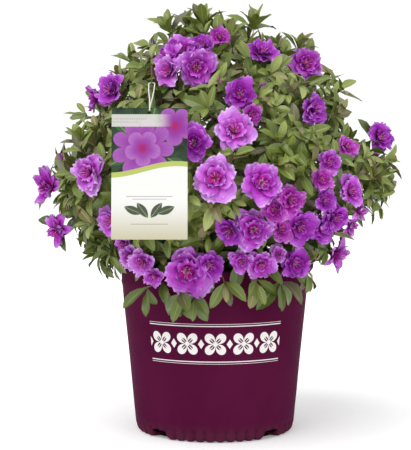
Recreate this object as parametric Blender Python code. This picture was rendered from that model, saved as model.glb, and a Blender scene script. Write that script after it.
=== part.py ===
"""A double-flowered azalea shrub in its nursery pot, with a card label tied to one twig.

Run it with: blender --background --python part.py

All sizes are in metres. +Z is up, -Y is the front and +X is the right as seen from the front. The
origin is the middle of the pot's flat underside. The pot holds the potting mix, a short stem stands
on the mix, and each bough runs from the stem to its own mass of twigs, leaves and blooms.
"""

import itertools
import math
import random

import bmesh
import bpy
from mathutils import Matrix, Vector
from mathutils.bvhtree import BVHTree

CLEAR = 0.0003  # gap that neighbouring solids keep

# Pot: a tapered moulded container with a rolled rim, a fluted foot and four drain notches.
POT_HEIGHT = 0.248
POT_TOP_RADIUS = 0.1415
POT_FOOT_RADIUS = 0.1175
POT_WALL = 0.0026
POT_FLOOR = 0.005
POT_CORNER = 0.008
RIM_HEIGHT = 0.010
RIM_OUT = 0.0035
FLUTES = 30
FLUTE_HEIGHT = 0.015
FLUTE_DEPTH = 0.0010
NOTCHES = 4
NOTCH_WIDTH = 0.020
NOTCH_HEIGHT = 0.012
NOTCH_DEPTH = 0.012

# Potting mix, level below the rim.
SOIL_BELOW_RIM = 0.026

# Stem, with its root flare on the mix and a slight lean.
STEM_HEIGHT = 0.112
STEM_FLARE = 0.021
STEM_RADIUS = 0.012
STEM_TIP_RADIUS = 0.0048
STEM_LEAN = Vector((0.007, 0.004, 0.0))
STEM_SHARES = (0.0, 0.06, 0.14, 0.28, 0.5, 0.75, 1.0)  # its rings, as shares of its height
STEM_SIDES = 12

# Boughs: two tiers round the stem.
BOUGH_RADIUS = 0.0044
BOUGH_TIP_RADIUS = 0.0024
BOUGH_SIDES = 6
BOUGH_RINGS = 5

# Crown: a broad dome over a shallow bowl, given by how far leaf tips reach from its middle.
CROWN_MIDDLE = Vector((0.0, 0.0, 0.378))
CROWN_OUT = 0.280
CROWN_UP = 0.256
CROWN_DOWN = 0.170
DOME_POWER = 1.45
BOWL_POWER = 1.7
TIP_DEPTH = 0.885  # twig tips stand at this share of the reach
SKIRT = 0.172  # shoots that spill over the rim hang at this radius
HEART = 0.64  # where a mass's stem divides, as a share of the reach
BOUGH_REACH = 0.44

# Masses: one at the top, then two rings as (name, count, first azimuth, elevation) in degrees.
RINGS = (("upper", 5, -36.0, 38.0), ("lower", 7, 0.0, -8.0))
SPACE_MARGIN = 0.0007  # each mass keeps this far inside its own space

# Twigs, leaves and blooms.
STEM_END_RADIUS = 0.0020  # a mass's stem tapers to this
TWIG_RADIUS = 0.0016
TWIG_TIP_RADIUS = 0.0010
LEAF_LENGTH = 0.062
LEAF_WIDTH = 0.022
SPRAY = 1.25  # each leaf stands for a spray of them, so it is longer than life by this
LEAF_THICKNESS = 0.0016
LEAF_BELLY = 0.48  # a leaf is widest at this share of its length
LEAF_DROOP = 0.07
LEAF_SHARES = (1.0, 0.78, 0.6)  # a leaf with no room is tried at these shares of its size
LOW_LEAF_SPREAD = 74  # degrees from the twig's line
HIGH_LEAF_SPREAD = 48
WHORL_GAP = 0.0045
RULE_TIPS = 190
INNER_EVERY = 6  # every so many of the tips by rule stand deeper in the crown
INNER_DEPTH = 0.72
SKIRT_TIPS = 12  # shoots round the rim where no chosen one hangs
TIP_SPACING = 0.044
SKIRT_SPACING = 0.060
BACK_BLOOM_SHARE = 0.47
SEED = 31

# The front of the crown, tip by tip, as seen level from EYE: (x, z, size, turn, tilt). x and z are
# millimetres in the upright plane through the pot's axis, size is a bloom's width or a shoot's
# leaf length in millimetres, turn is the way it faces to the right and tilt is upwards, in degrees.
EYE = Vector((-0.014, -2.0, 0.41))
FRONT_BLOOMS = (
    # round the top
    (-51, 566, 58, -10, 30), (-72, 535, 50, -35, 5), (-27, 540, 60, 5, -5), (0, 602, 40, 20, 60),
    (-157, 507, 56, -48, 14), (72, 565, 52, 20, 48), (137, 546, 56, 14, 12),
    # upper right and centre
    (38, 501, 48, 5, 10), (150, 478, 52, 48, 5), (29, 448, 60, 0, 18), (-32, 428, 50, -8, 0),
    (243, 434, 50, 58, 22), (198, 423, 34, 30, 20), (172, 400, 36, 10, 0),
    # left shoulder
    (-191, 384, 58, -28, 6), (-258, 360, 54, -56, 8), (-246, 306, 52, -52, -14),
    (-158, 311, 48, -40, -5),
    # middle of the face
    (0, 376, 64, -5, 8), (71, 369, 60, 8, 8), (114, 342, 48, 15, 0), (128, 302, 54, 18, -12),
    (205, 356, 46, 34, 10), (166, 343, 34, 28, 5), (182, 315, 48, 36, -14), (220, 327, 30, 60, 0),
    (58, 298, 60, 5, -4), (20, 294, 46, -30, -25),
    # along the rim
    (-110, 248, 44, -22, -22), (-92, 226, 30, -5, -28), (-46, 238, 66, -6, -14),
    (-7, 244, 44, 14, -14), (40, 250, 36, -6, -12), (70, 245, 44, 4, -16), (95, 262, 26, 10, 5),
    (122, 247, 46, 14, -6), (186, 258, 48, 54, -16), (-138, 276, 34, -40, -25),
)
FRONT_SHOOTS = (
    # standing out of the dome
    (-12, 606, 44, -12, 78), (60, 608, 38, 22, 74), (-66, 592, 36, -35, 66), (-98, 562, 36, -50, 50),
    (126, 582, 34, 25, 70), (178, 508, 38, 58, 40), (178, 470, 38, 66, 8), (-200, 432, 34, -60, 66),
    (-192, 470, 36, -68, 45), (-130, 470, 36, -40, 20), (-105, 535, 38, -45, 35),
    # right side
    (246, 404, 38, 76, 18), (240, 378, 40, 66, 0), (232, 350, 40, 68, -28), (146, 398, 44, 22, 18),
    # face
    (112, 418, 42, 10, 6), (134, 440, 38, 26, 16), (60, 468, 38, -4, 14), (-176, 330, 42, -30, 0),
    (-3, 336, 44, -6, 4), (95, 430, 40, 18, 24), (82, 530, 40, 12, 20), (105, 500, 38, 20, 24),
    (-10, 480, 38, -6, 20), (28, 410, 38, 8, 20), (-40, 350, 38, -10, 0),
    # spilling over the rim
    (-172, 282, 36, -48, -40), (-156, 262, 38, -38, -58), (-112, 218, 44, -18, -72),
    (-56, 210, 44, -8, -78), (-30, 208, 44, 2, -76), (16, 214, 40, 16, -70), (66, 216, 40, 4, -74),
    (104, 214, 46, 14, -70), (142, 234, 40, 40, -76), (192, 296, 36, 50, -25),
)

# Label: a card that leans back a little, on a loop of soft tie hung on a twig of the foliage.
LABEL_WIDTH = 0.099
LABEL_HEIGHT = 0.172
LABEL_THICK = 0.0008
LABEL_LEAN = math.radians(7)
LABEL_TOP = Vector((-0.0868, -0.250, 0.4712))  # middle of its top edge
LABEL_DOWN = Vector((0.0, -math.sin(LABEL_LEAN), -math.cos(LABEL_LEAN)))
LABEL_OUT = Vector((0.0, -math.cos(LABEL_LEAN), math.sin(LABEL_LEAN)))
LABEL_HOLE_RADIUS = 0.0032
LABEL_HOLE_BELOW = 0.0050
TIE_RADIUS = 0.0008
TIE_LOW_TURN = 0.0022  # the tie turns round the card's edge at this radius
TIE_HIGH_TURN = 0.0040  # and round its twig at this one
TIE_TOP = Vector((-0.0868, -0.180, 0.506))  # middle of the turn round the twig
TIE_ARC_STEPS = 4
TIE_RUN_STEPS = 5
TIE_SIDES = 6
TIE_TWIG_BACK = 0.026
TIE_TWIG_AHEAD = 0.016

AXIS_UP = Vector((0.0, 0.0, 1.0))


def clear_scene():
    for thing in list(bpy.data.objects):
        bpy.data.objects.remove(thing, do_unlink=True)


def material(name, colour, roughness):
    made = bpy.data.materials.new(name)
    made.use_nodes = True
    shader = made.node_tree.nodes["Principled BSDF"]
    shader.inputs["Base Color"].default_value = (*colour, 1.0)
    shader.inputs["Roughness"].default_value = roughness
    return made


def place(name, mesh, finish):
    mesh.materials.clear()
    mesh.materials.append(finish)
    thing = bpy.data.objects.new(name, mesh)
    bpy.context.scene.collection.objects.link(thing)
    return thing


def mesh_of(corners, faces):
    mesh = bpy.data.meshes.new("solid")
    mesh.from_pydata(corners, [], faces)
    mesh.validate()
    return mesh


def unit_square_to(direction):
    """A level unit vector square to direction."""
    side = direction.cross(AXIS_UP)
    if side.length < 0.05:
        side = direction.cross(Vector((0.0, 1.0, 0.0)))
    return side.normalized()


class Shell:
    """The corners and faces of one closed solid while it is drawn up."""

    def __init__(self):
        self.corners = []
        self.faces = []

    def corner(self, point):
        self.corners.append(Vector(point))
        return len(self.corners) - 1

    def ring(self, centre, direction, side, radius, count, phase=0.0):
        rise = direction.cross(side)
        turns = [phase + 2 * math.pi * k / count for k in range(count)]
        return [
            self.corner(centre + radius * (math.cos(a) * side + math.sin(a) * rise)) for a in turns
        ]

    def wall(self, lower, upper):
        for k, low in enumerate(lower):
            following = (k + 1) % len(lower)
            self.faces.append((low, lower[following], upper[following], upper[k]))

    def limb(self, points, radii, sides, last=None):
        """A tapering limb through points. Leaves its far end, square to last, open and returns it."""
        directions = [(b - a).normalized() for a, b in zip(points, points[1:])]
        heading = directions[0]
        side = unit_square_to(heading)
        ring = self.ring(points[0], heading, side, radii[0], sides)
        self.faces.append(tuple(reversed(ring)))
        for n in range(1, len(points)):
            ahead = directions[min(n, len(directions) - 1)]
            heading = (directions[n - 1] + ahead).normalized()
            if last and n == len(directions):
                heading = last
            side = (side - heading * side.dot(heading)).normalized()
            following = self.ring(points[n], heading, side, radii[n], sides)
            self.wall(ring, following)
            ring = following
        return ring, side

    def tree(self):
        return BVHTree.FromPolygons(self.corners, self.faces)


# ---------------------------------------------------------------- pot and potting mix


def pot_radius(height):
    """Outer radius of the pot's wall at this height."""
    return POT_FOOT_RADIUS + (POT_TOP_RADIUS - POT_FOOT_RADIUS) * height / POT_HEIGHT


def turned(profile, steps, name):
    """A solid turned round the Z axis from (radius, height) points, both ends on the axis."""
    bm = bmesh.new()
    line = [bm.verts.new((radius, 0.0, height)) for radius, height in profile]
    edges = [bm.edges.new(pair) for pair in zip(line, line[1:])]
    bmesh.ops.spin(
        bm, geom=line + edges, cent=(0, 0, 0), axis=(0, 0, 1), angle=2 * math.pi, steps=steps
    )
    bmesh.ops.remove_doubles(bm, verts=bm.verts, dist=1e-6)
    bmesh.ops.recalc_face_normals(bm, faces=bm.faces)
    mesh = bpy.data.meshes.new(name)
    bm.to_mesh(mesh)
    bm.free()
    return mesh


def pot():
    rim_bottom = POT_HEIGHT - RIM_HEIGHT
    rim_radius = pot_radius(rim_bottom) + RIM_OUT
    floor_radius = pot_radius(POT_FLOOR) - POT_WALL
    corner = [
        (
            POT_FOOT_RADIUS - POT_CORNER * (1 - math.sin(math.radians(a))),
            POT_CORNER * (1 - math.cos(math.radians(a))),
        )
        for a in (0, 35, 65, 90)
    ]
    profile = [
        (0.0, 0.0),
        *corner,
        (pot_radius(FLUTE_HEIGHT), FLUTE_HEIGHT),
        (pot_radius(FLUTE_HEIGHT + 0.002), FLUTE_HEIGHT + 0.002),
        (pot_radius(rim_bottom), rim_bottom),
        (rim_radius, rim_bottom + 0.0012),
        (rim_radius, POT_HEIGHT - 0.0015),
        (rim_radius - 0.0015, POT_HEIGHT),
        (POT_TOP_RADIUS - POT_WALL + 0.001, POT_HEIGHT),
        (POT_TOP_RADIUS - POT_WALL, POT_HEIGHT - 0.001),
        (floor_radius, POT_FLOOR + 0.003),
        (floor_radius - 0.003, POT_FLOOR),
        (0.0, POT_FLOOR),
    ]
    mesh = turned(profile, 2 * FLUTES, "pot")
    outer = pot_radius(0.0) - POT_CORNER - 0.001
    for v in mesh.vertices:
        radius = math.hypot(v.co.x, v.co.y)
        if radius > outer and POT_CORNER * 0.5 < v.co.z < FLUTE_HEIGHT + 0.001:
            wave = math.cos(FLUTES * math.atan2(v.co.y, v.co.x))
            if radius > pot_radius(v.co.z) - POT_WALL * 0.5:
                v.co.xy *= 1 - FLUTE_DEPTH * (1 - wave) / (2 * radius)
    thing = place("pot", mesh, material("pot_plastic", (0.10, 0.013, 0.045), 0.42))
    cutter_mesh = bpy.data.meshes.new("notches")
    bm = bmesh.new()
    for n in range(NOTCHES):
        turn = math.radians(45 + 360 * n / NOTCHES)
        made = bmesh.ops.create_cube(bm, size=1.0)["verts"]
        bmesh.ops.scale(bm, vec=(2 * NOTCH_DEPTH, NOTCH_WIDTH, 2 * NOTCH_HEIGHT), verts=made)
        bmesh.ops.translate(bm, vec=(POT_FOOT_RADIUS, 0, 0), verts=made)
        bmesh.ops.rotate(bm, cent=(0, 0, 0), matrix=Matrix.Rotation(turn, 3, "Z"), verts=made)
    bm.to_mesh(cutter_mesh)
    bm.free()
    cutter = place("notch_cutter", cutter_mesh, thing.data.materials[0])
    cutter.hide_render = True
    cutter.display_type = "WIRE"
    cut = thing.modifiers.new("notches", "BOOLEAN")
    cut.operation = "DIFFERENCE"
    cut.object = cutter
    mesh.shade_smooth()
    mesh.set_sharp_from_angle(angle=math.radians(35))
    return thing


def soil():
    level = POT_HEIGHT - SOIL_BELOW_RIM
    gap = POT_WALL + 3 * CLEAR
    bottom = POT_FLOOR + CLEAR
    profile = [
        (0.0, bottom),
        (pot_radius(bottom) - gap - 0.005, bottom),
        (pot_radius(bottom + 0.006) - gap - 0.001, bottom + 0.006),
        (pot_radius(level - 0.004) - gap - 0.001, level - 0.004),
        (pot_radius(level) - gap - 0.006, level),
        (0.0, level),
    ]
    mesh = turned(profile, FLUTES, "potting_mix")
    return place("potting_mix", mesh, material("potting_mix", (0.045, 0.028, 0.018), 0.95))


# ---------------------------------------------------------------- stem and boughs


def soil_level():
    return POT_HEIGHT - SOIL_BELOW_RIM


def stem_centre(share):
    foot = Vector((0.0, 0.0, soil_level() + CLEAR))
    return foot + STEM_LEAN * share**1.5 + AXIS_UP * STEM_HEIGHT * share


def stem_radius(share):
    flare = (STEM_FLARE - STEM_RADIUS) * max(0.0, 1 - share / 0.2) ** 2
    taper = STEM_RADIUS + (STEM_TIP_RADIUS - STEM_RADIUS) * share**1.6
    return taper + flare


def stem(swell=0.0):
    shell = Shell()
    points = [stem_centre(s) for s in STEM_SHARES]
    end, _ = shell.limb(points, [stem_radius(s) + swell for s in STEM_SHARES], STEM_SIDES)
    shell.faces.append(tuple(end))
    for n in range(STEM_SIDES):
        shell.corners[n].z = points[0].z
    return shell


def crown_reach(direction):
    """How far the crown reaches from its middle in this direction."""
    level = math.hypot(direction.x, direction.y) / CROWN_OUT
    if direction.z > 0:
        power, height = DOME_POWER, direction.z / CROWN_UP
    else:
        power, height = BOWL_POWER, -direction.z / CROWN_DOWN
    return (level**power + height**power) ** (-1 / power)


def towards(azimuth, elevation):
    """Unit vector; azimuth 0 is the front and 90 the right."""
    a, e = math.radians(azimuth), math.radians(elevation)
    return Vector((math.sin(a) * math.cos(e), -math.cos(a) * math.cos(e), math.sin(e)))


def mass_places():
    """Each mass as (name, azimuth, elevation)."""
    places = [("top", 0.0, 90.0)]
    for tier, count, first, elevation in RINGS:
        places += [
            (f"{tier}_{n + 1}", first + 360 * n / count, elevation) for n in range(count)
        ]
    return places


def bough_points(index, azimuth, elevation):
    """The middle line of the bough that serves a mass, from the stem outwards."""
    low = elevation < 20
    share = (0.30 if low else 0.62) + 0.05 * (index % 2)
    start_tilt = 24 if low else 44
    heading = towards(azimuth, start_tilt)
    flat = towards(azimuth, 0)
    start = stem_centre(share) + flat * (stem_radius(share) + BOUGH_RADIUS)
    out = towards(azimuth, elevation)
    end = CROWN_MIDDLE + out * crown_reach(out) * BOUGH_REACH
    tree = stem().tree()
    for _ in range(4):
        span = (end - start).length
        first = start + heading * span * 0.4
        second = end - out * span * 0.35
        line = []
        for n in range(BOUGH_RINGS):
            t = n / (BOUGH_RINGS - 1)
            u = 1 - t
            line.append(u**3 * start + 3 * u * u * t * first + 3 * u * t * t * second + t**3 * end)
        foot = Shell()
        ahead = (line[1] - line[0]).normalized()
        foot.ring(start, ahead, unit_square_to(ahead), BOUGH_RADIUS, 4 * BOUGH_SIDES)
        start += flat * (CLEAR - min(tree.find_nearest(p)[3] for p in foot.corners))
    return line


def bough(index, azimuth, elevation, swell=0.0):
    points = bough_points(index, azimuth, elevation)
    steps = [n / (BOUGH_RINGS - 1) for n in range(BOUGH_RINGS)]
    radii = [BOUGH_RADIUS + (BOUGH_TIP_RADIUS - BOUGH_RADIUS) * t + swell for t in steps]
    shell = Shell()
    end, _ = shell.limb(points, radii, BOUGH_SIDES)
    shell.faces.append(tuple(end))
    return shell


# ---------------------------------------------------------------- label and tie


def tie_frame():
    """The middle of the loop's low turn, the way it runs up, and the way its twig runs out."""
    strip = (LABEL_HOLE_BELOW - LABEL_HOLE_RADIUS) / 2
    low = LABEL_TOP + LABEL_DOWN * strip
    up = (TIE_TOP - low).normalized()
    return low, up, Vector((1.0, 0.0, 0.0)).cross(up) * -1


def tie_line():
    """The loop through the label's hole and round its twig, as a closed line of points."""
    low, up, outward = tie_frame()
    level = Vector((1.0, 0.0, 0.0))
    line = []
    for n in range(-TIE_ARC_STEPS, TIE_ARC_STEPS):
        a = math.pi / 2 * n / TIE_ARC_STEPS
        line.append(low + TIE_LOW_TURN * (-math.cos(a) * up + math.sin(a) * outward))
    for n in range(TIE_RUN_STEPS):
        line.append(strand(low, outward, level, n / TIE_RUN_STEPS, 1))
    for n in range(-TIE_ARC_STEPS, TIE_ARC_STEPS):
        a = math.pi / 2 * n / TIE_ARC_STEPS
        line.append(TIE_TOP + TIE_HIGH_TURN * (math.cos(a) * up - math.sin(a) * level))
    for n in range(TIE_RUN_STEPS):
        line.append(strand(low, outward, level, 1 - n / TIE_RUN_STEPS, -1))
    return line


def strand(low, outward, level, share, hand):
    """A point on one strand of the loop, which turns a quarter on its way up."""
    swing = math.pi / 2 * share * share * (3 - 2 * share)
    width = TIE_LOW_TURN + (TIE_HIGH_TURN - TIE_LOW_TURN) * share
    across = math.cos(swing) * outward + math.sin(swing) * level
    return low.lerp(TIE_TOP, share) + across * width * hand


def tie(swell=0.0):
    line = tie_line()
    shell = Shell()
    rings = []
    side = Vector((1.0, 0.0, 0.0))
    for n, point in enumerate(line):
        heading = (line[(n + 1) % len(line)] - line[n - 1]).normalized()
        side = (side - heading * side.dot(heading)).normalized()
        rings.append(shell.ring(point, heading, side, TIE_RADIUS + swell, TIE_SIDES))
    for ring, following in zip(rings, rings[1:]):
        shell.wall(ring, following)
    last, first = rings[-1], rings[0]
    shift = min(
        range(TIE_SIDES),
        key=lambda s: (shell.corners[last[0]] - shell.corners[first[s]]).length,
    )
    shell.wall(last, [first[(k + shift) % TIE_SIDES] for k in range(TIE_SIDES)])
    return shell


def card(swell=0.0):
    """The label's plain card."""
    across = Vector((LABEL_WIDTH / 2 + swell, 0.0, 0.0))
    out = LABEL_OUT * (LABEL_THICK / 2 + swell)
    down = LABEL_DOWN * (LABEL_HEIGHT / 2 + swell)
    middle = LABEL_TOP + LABEL_DOWN * LABEL_HEIGHT / 2
    shell = Shell()
    front = [middle + out + x * across + z * down for x, z in ((-1, 1), (1, 1), (1, -1), (-1, -1))]
    for point in [*front, *(p - 2 * out for p in front)]:
        shell.corner(point)
    shell.faces += [(0, 1, 2, 3), (7, 6, 5, 4)]
    shell.wall([4, 5, 6, 7], [0, 1, 2, 3])
    return shell


def label():
    mesh = mesh_of(card().corners, card().faces)
    thing = place("label", mesh, material("label_card", (0.82, 0.80, 0.70), 0.35))
    bpy.ops.mesh.primitive_cylinder_add(
        vertices=24,
        radius=LABEL_HOLE_RADIUS,
        depth=LABEL_THICK * 4,
        location=LABEL_TOP + LABEL_DOWN * LABEL_HOLE_BELOW,
        rotation=(math.radians(90) - LABEL_LEAN, 0, 0),
    )
    punch = bpy.context.object
    punch.name = "hole_punch"
    punch.hide_render = True
    punch.display_type = "WIRE"
    cut = thing.modifiers.new("hole", "BOOLEAN")
    cut.operation = "DIFFERENCE"
    cut.object = punch
    return thing


# ---------------------------------------------------------------- tips of the crown


def in_crown(point, share):
    out = point - CROWN_MIDDLE
    return out.length < share * crown_reach(out.normalized())


def on_crown(x, z):
    """The point on the crown's front that covers (x, z) of the upright plane, seen from EYE."""
    target = Vector((x / 1000, 0.0, z / 1000))
    steps = 200
    for n in range(steps + 1):
        point = EYE.lerp(target, 0.80 + 0.20 * n / steps)
        if in_crown(point, TIP_DEPTH):
            return point
        low = point.z < POT_HEIGHT + 0.03
        if low and math.hypot(point.x, point.y) < SKIRT:
            return point
    return target


def all_tips():
    """Every twig tip as (kind, point, axis, size), the chosen front ones first."""
    tips = []
    for kind, chosen in (("bloom", FRONT_BLOOMS), ("shoot", FRONT_SHOOTS)):
        for x, z, size, turn, tilt in chosen:
            grown = SPRAY if kind == "shoot" else 1.0
            tips.append((kind, on_crown(x, z), towards(turn, tilt), size * grown / 1000))
    for n in range(SKIRT_TIPS):
        turn = 360 * n / SKIRT_TIPS
        point = towards(turn, 0) * SKIRT + AXIS_UP * (POT_HEIGHT + 0.012)
        if min((point - tip[1]).length for tip in tips) > SKIRT_SPACING:
            tips.append(("shoot", point, towards(turn, -40), LEAF_LENGTH))
    golden = math.pi * (3 - math.sqrt(5))
    for n in range(RULE_TIPS):
        dice = random.Random(SEED * 1000 + n)
        height = 1 - 2 * (n + 0.5) / RULE_TIPS
        ring = math.sqrt(1 - height * height)
        out = Vector((math.sin(n * golden) * ring, -math.cos(n * golden) * ring, height))
        out = (out + Vector([dice.uniform(-0.09, 0.09) for _ in range(3)])).normalized()
        depth = TIP_DEPTH * dice.uniform(0.93, 1.0) * (1.0 if n % INNER_EVERY else INNER_DEPTH)
        point = CROWN_MIDDLE + out * crown_reach(out) * depth
        radius = math.hypot(point.x, point.y)
        if point.z < POT_HEIGHT + 0.02 and radius < SKIRT:
            continue
        if min((point - tip[1]).length for tip in tips) < TIP_SPACING:
            continue
        droop = 0.35 if out.z > -0.3 else -0.5
        jitter = Vector([dice.uniform(-0.3, 0.3) for _ in range(3)])
        axis = (out + AXIS_UP * droop + jitter).normalized()
        back = point.y > -0.02
        if back and dice.random() < BACK_BLOOM_SHARE:
            tips.append(("bloom", point, (out + jitter * 0.8).normalized(), dice.uniform(0.044, 0.062)))
        else:
            tips.append(("shoot", point, axis, LEAF_LENGTH * dice.uniform(0.82, 1.0)))
    return tips


# ---------------------------------------------------------------- masses


class Mass:
    """One mass: its own space, its stem, and the twigs that have been grown in it."""

    def __init__(self, index, name, azimuth, elevation):
        self.index = index
        self.name = name
        self.out = towards(azimuth, elevation)
        self.heart = CROWN_MIDDLE + self.out * crown_reach(self.out) * HEART
        self.azimuth = azimuth
        self.elevation = elevation
        self.borders = []
        self.forks = []
        self.shells = []

    def set_borders(self, masses):
        for other in masses:
            if other is not self:
                away = (other.heart - self.heart).normalized()
                self.borders.append(((self.heart + other.heart) / 2, away))

    def room(self, point):
        """Distance to the nearest border, negative outside the space."""
        return min((middle - point).dot(away) for middle, away in self.borders)

    def holds(self, points, margin=SPACE_MARGIN):
        return all(self.room(p) > margin for p in points)

    def drawn_in(self, point, margin):
        """The point moved square to each border until it has this much room."""
        moved = point.copy()
        for _ in range(3):
            for middle, away in self.borders:
                lacking = margin - (middle - moved).dot(away)
                if lacking > 0:
                    moved -= away * lacking
        return moved

    def start_stem(self):
        if self.elevation > 80:
            line, radius = [stem_centre(STEM_SHARES[-2]), stem_centre(1.0)], STEM_TIP_RADIUS * 0.8
        else:
            line, radius = bough_points(self.index, self.azimuth, self.elevation), BOUGH_TIP_RADIUS
        heading = (line[-1] - line[-2]).normalized()
        start = line[-1] + heading * CLEAR
        straight = start + heading * 0.006
        middle = straight.lerp(self.heart, 0.5)
        shell = Shell()
        radii = [radius, radius, (radius + STEM_END_RADIUS) / 2, STEM_END_RADIUS]
        ring, _ = shell.limb([start, straight, middle, self.heart], radii, 5)
        top = shell.corner(self.heart + (self.heart - middle).normalized() * STEM_END_RADIUS)
        for k, corner in enumerate(ring):
            shell.faces.append((corner, ring[(k + 1) % 5], top))
        self.shells.append(shell)
        self.forks += [middle, self.heart]


def add_whorl(shell, ring, axis, side, length, dice, allowed):
    """Closes a twig's end with a hub and six leaves. A leaf that is not allowed is left out."""
    hub_middle = sum((shell.corners[i] for i in ring), Vector()) / 3 + axis * WHORL_GAP
    upper = shell.ring(hub_middle, axis, side, TWIG_TIP_RADIUS * 2.0, 3, math.pi / 3)
    for k in range(3):
        following = (k + 1) % 3
        low_leaf = (upper[k], ring[k], ring[following])
        high_leaf = (ring[following], upper[following], upper[k])
        for base, spread in ((low_leaf, LOW_LEAF_SPREAD), (high_leaf, HIGH_LEAF_SPREAD)):
            add_leaf(shell, base, axis, hub_middle, spread, length, dice, allowed)
    shell.faces.append(tuple(upper))


def add_leaf(shell, base, axis, hub_middle, spread, length, dice, allowed):
    """Grows one keeled leaf from three corners of a hub, the keel's corner first."""
    corners = [shell.corners[i] for i in base]
    root = sum(corners, Vector()) / 3
    radial = root - hub_middle
    radial = (radial - axis * radial.dot(axis)).normalized()
    lean = math.radians(spread + dice.uniform(-9, 9))
    along = axis * math.cos(lean) + radial * math.sin(lean)
    across = axis.cross(radial)
    through = along.cross(across)
    reach = length * dice.uniform(0.84, 1.0)
    thick = through * math.copysign(LEAF_THICKNESS, (corners[0] - root).dot(through))
    half = across * math.copysign(LEAF_WIDTH / 2, (corners[1] - root).dot(across))
    for share in LEAF_SHARES:
        belly = root + along * reach * share * LEAF_BELLY - thick
        tip = root + (along - AXIS_UP * LEAF_DROOP) * reach * share
        edges = [belly + half * share, belly - half * share]
        if allowed([*edges, tip], corners):
            break
    else:
        shell.faces.append(base)
        return
    keel, one, other = base
    left, right = (shell.corner(p) for p in edges)
    point = shell.corner(tip)
    shell.faces += [(one, other, right), (one, right, left)]
    shell.faces += [(keel, one, left), (keel, left, point)]
    shell.faces += [(other, keel, right), (keel, point, right), (left, right, point)]


RIM_CORNERS = 12
RUFF_CORNERS = 6


def add_bloom(shell, ring, axis, side, width, dice, mass):
    """Closes a twig's end with a ruffled double bloom: back, rim, raised ruff and throat."""
    neck = sum((shell.corners[i] for i in ring), Vector()) / 3
    radius = width / 2
    keep = neck + axis * radius * 0.4

    def petal_point(turn, out, rise):
        rising = axis.cross(side)
        spoke = math.cos(turn) * side + math.sin(turn) * rising
        point = neck + axis * rise * radius + spoke * out * radius
        for middle, away in mass.borders:
            beyond = (point - middle).dot(away) + SPACE_MARGIN
            if beyond > 0:
                inside = (keep - middle).dot(away) + SPACE_MARGIN
                point = keep + (point - keep) * (inside / (inside - beyond))
        return shell.corner(point)

    rim = []
    for j in range(RIM_CORNERS):
        petal = j % 2 == 0
        out = (1.0 if petal else 0.80) * dice.uniform(0.92, 1.04)
        rim.append(petal_point(2 * math.pi * j / RIM_CORNERS, out, 0.74 if petal else 0.58))
    ruff = []
    for j in range(RUFF_CORNERS):
        turn = 2 * math.pi * j / RUFF_CORNERS
        ruff.append(petal_point(turn, dice.uniform(0.42, 0.60), dice.uniform(1.0, 1.22)))
    throat = petal_point(0.0, 0.0, 0.76)
    for j in range(RIM_CORNERS):
        near = ring[((j + 2) // 4) % 3]
        shell.faces.append((near, rim[(j + 1) % RIM_CORNERS], rim[j]))
    for k in range(3):
        shell.faces.append((ring[k], ring[(k + 1) % 3], rim[4 * k + 2]))
    for j in range(RUFF_CORNERS):
        before, here, after = rim[2 * j - 1], rim[2 * j], rim[2 * j + 1]
        following = ruff[(j + 1) % RUFF_CORNERS]
        shell.faces.append((before, here, ruff[j]))
        shell.faces.append((here, after, ruff[j]))
        shell.faces.append((after, following, ruff[j]))
        shell.faces.append((ruff[j], following, throat))


def in_pot_or_label(point):
    """True inside the pot's clearance, or in front of the label."""
    radius = math.hypot(point.x, point.y)
    if point.z < POT_HEIGHT + 0.002 and radius < pot_radius(point.z) + RIM_OUT + 0.003:
        return True
    from_top = point - LABEL_TOP
    beside = abs(from_top.x) < LABEL_WIDTH / 2 + 0.004
    level = -0.002 < from_top.dot(LABEL_DOWN) < LABEL_HEIGHT + 0.004
    return beside and level and from_top.dot(LABEL_OUT) > -0.003


def grow_tip(mass, kind, point, axis, size, dice, kept_clear):
    """Grows one twig from the mass's best fork to its tip, or skips it if nothing is clear."""
    neck_back = size * 0.30 if kind == "bloom" else WHORL_GAP
    neck = mass.drawn_in(point - axis * neck_back, 0.004)
    forks = sorted(
        mass.forks, key=lambda f: (f - neck).length + 0.25 * (f - mass.heart).length
    )
    for fork in forks[:6]:
        span = neck - fork
        if span.length < 0.012:
            continue
        bend = neck - axis * min(0.45 * span.length, 0.03)
        bend = mass.drawn_in(bend.lerp(fork.lerp(neck, 0.6), 0.25), 0.003)
        shell = Shell()
        radii = [TWIG_RADIUS, (TWIG_RADIUS + TWIG_TIP_RADIUS) / 2, TWIG_TIP_RADIUS]
        ring, side = shell.limb([fork, bend, neck], radii, 3, axis)
        bare = Shell()
        bare.corners = list(shell.corners)
        bare.faces = [*shell.faces, tuple(ring)]
        if any(in_pot_or_label(p) for p in bare.corners) or bare.tree().overlap(kept_clear):
            continue

        def allowed(points, roots):
            if any(in_pot_or_label(p) for p in points) or not mass.holds(points):
                return False
            hull = [*roots, *points]
            faces = list(itertools.combinations(range(len(hull)), 3))
            return not BVHTree.FromPolygons(hull, faces).overlap(kept_clear)

        if kind == "shoot":
            add_whorl(shell, ring, axis, side, size, dice, allowed)
        else:
            add_bloom(shell, ring, axis, side, size, dice, mass)
            if any(in_pot_or_label(p) for p in shell.corners):
                return False
            if shell.tree().overlap(kept_clear):
                return False
        mass.shells.append(shell)
        mass.forks.append(bend)
        return True
    return False


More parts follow.
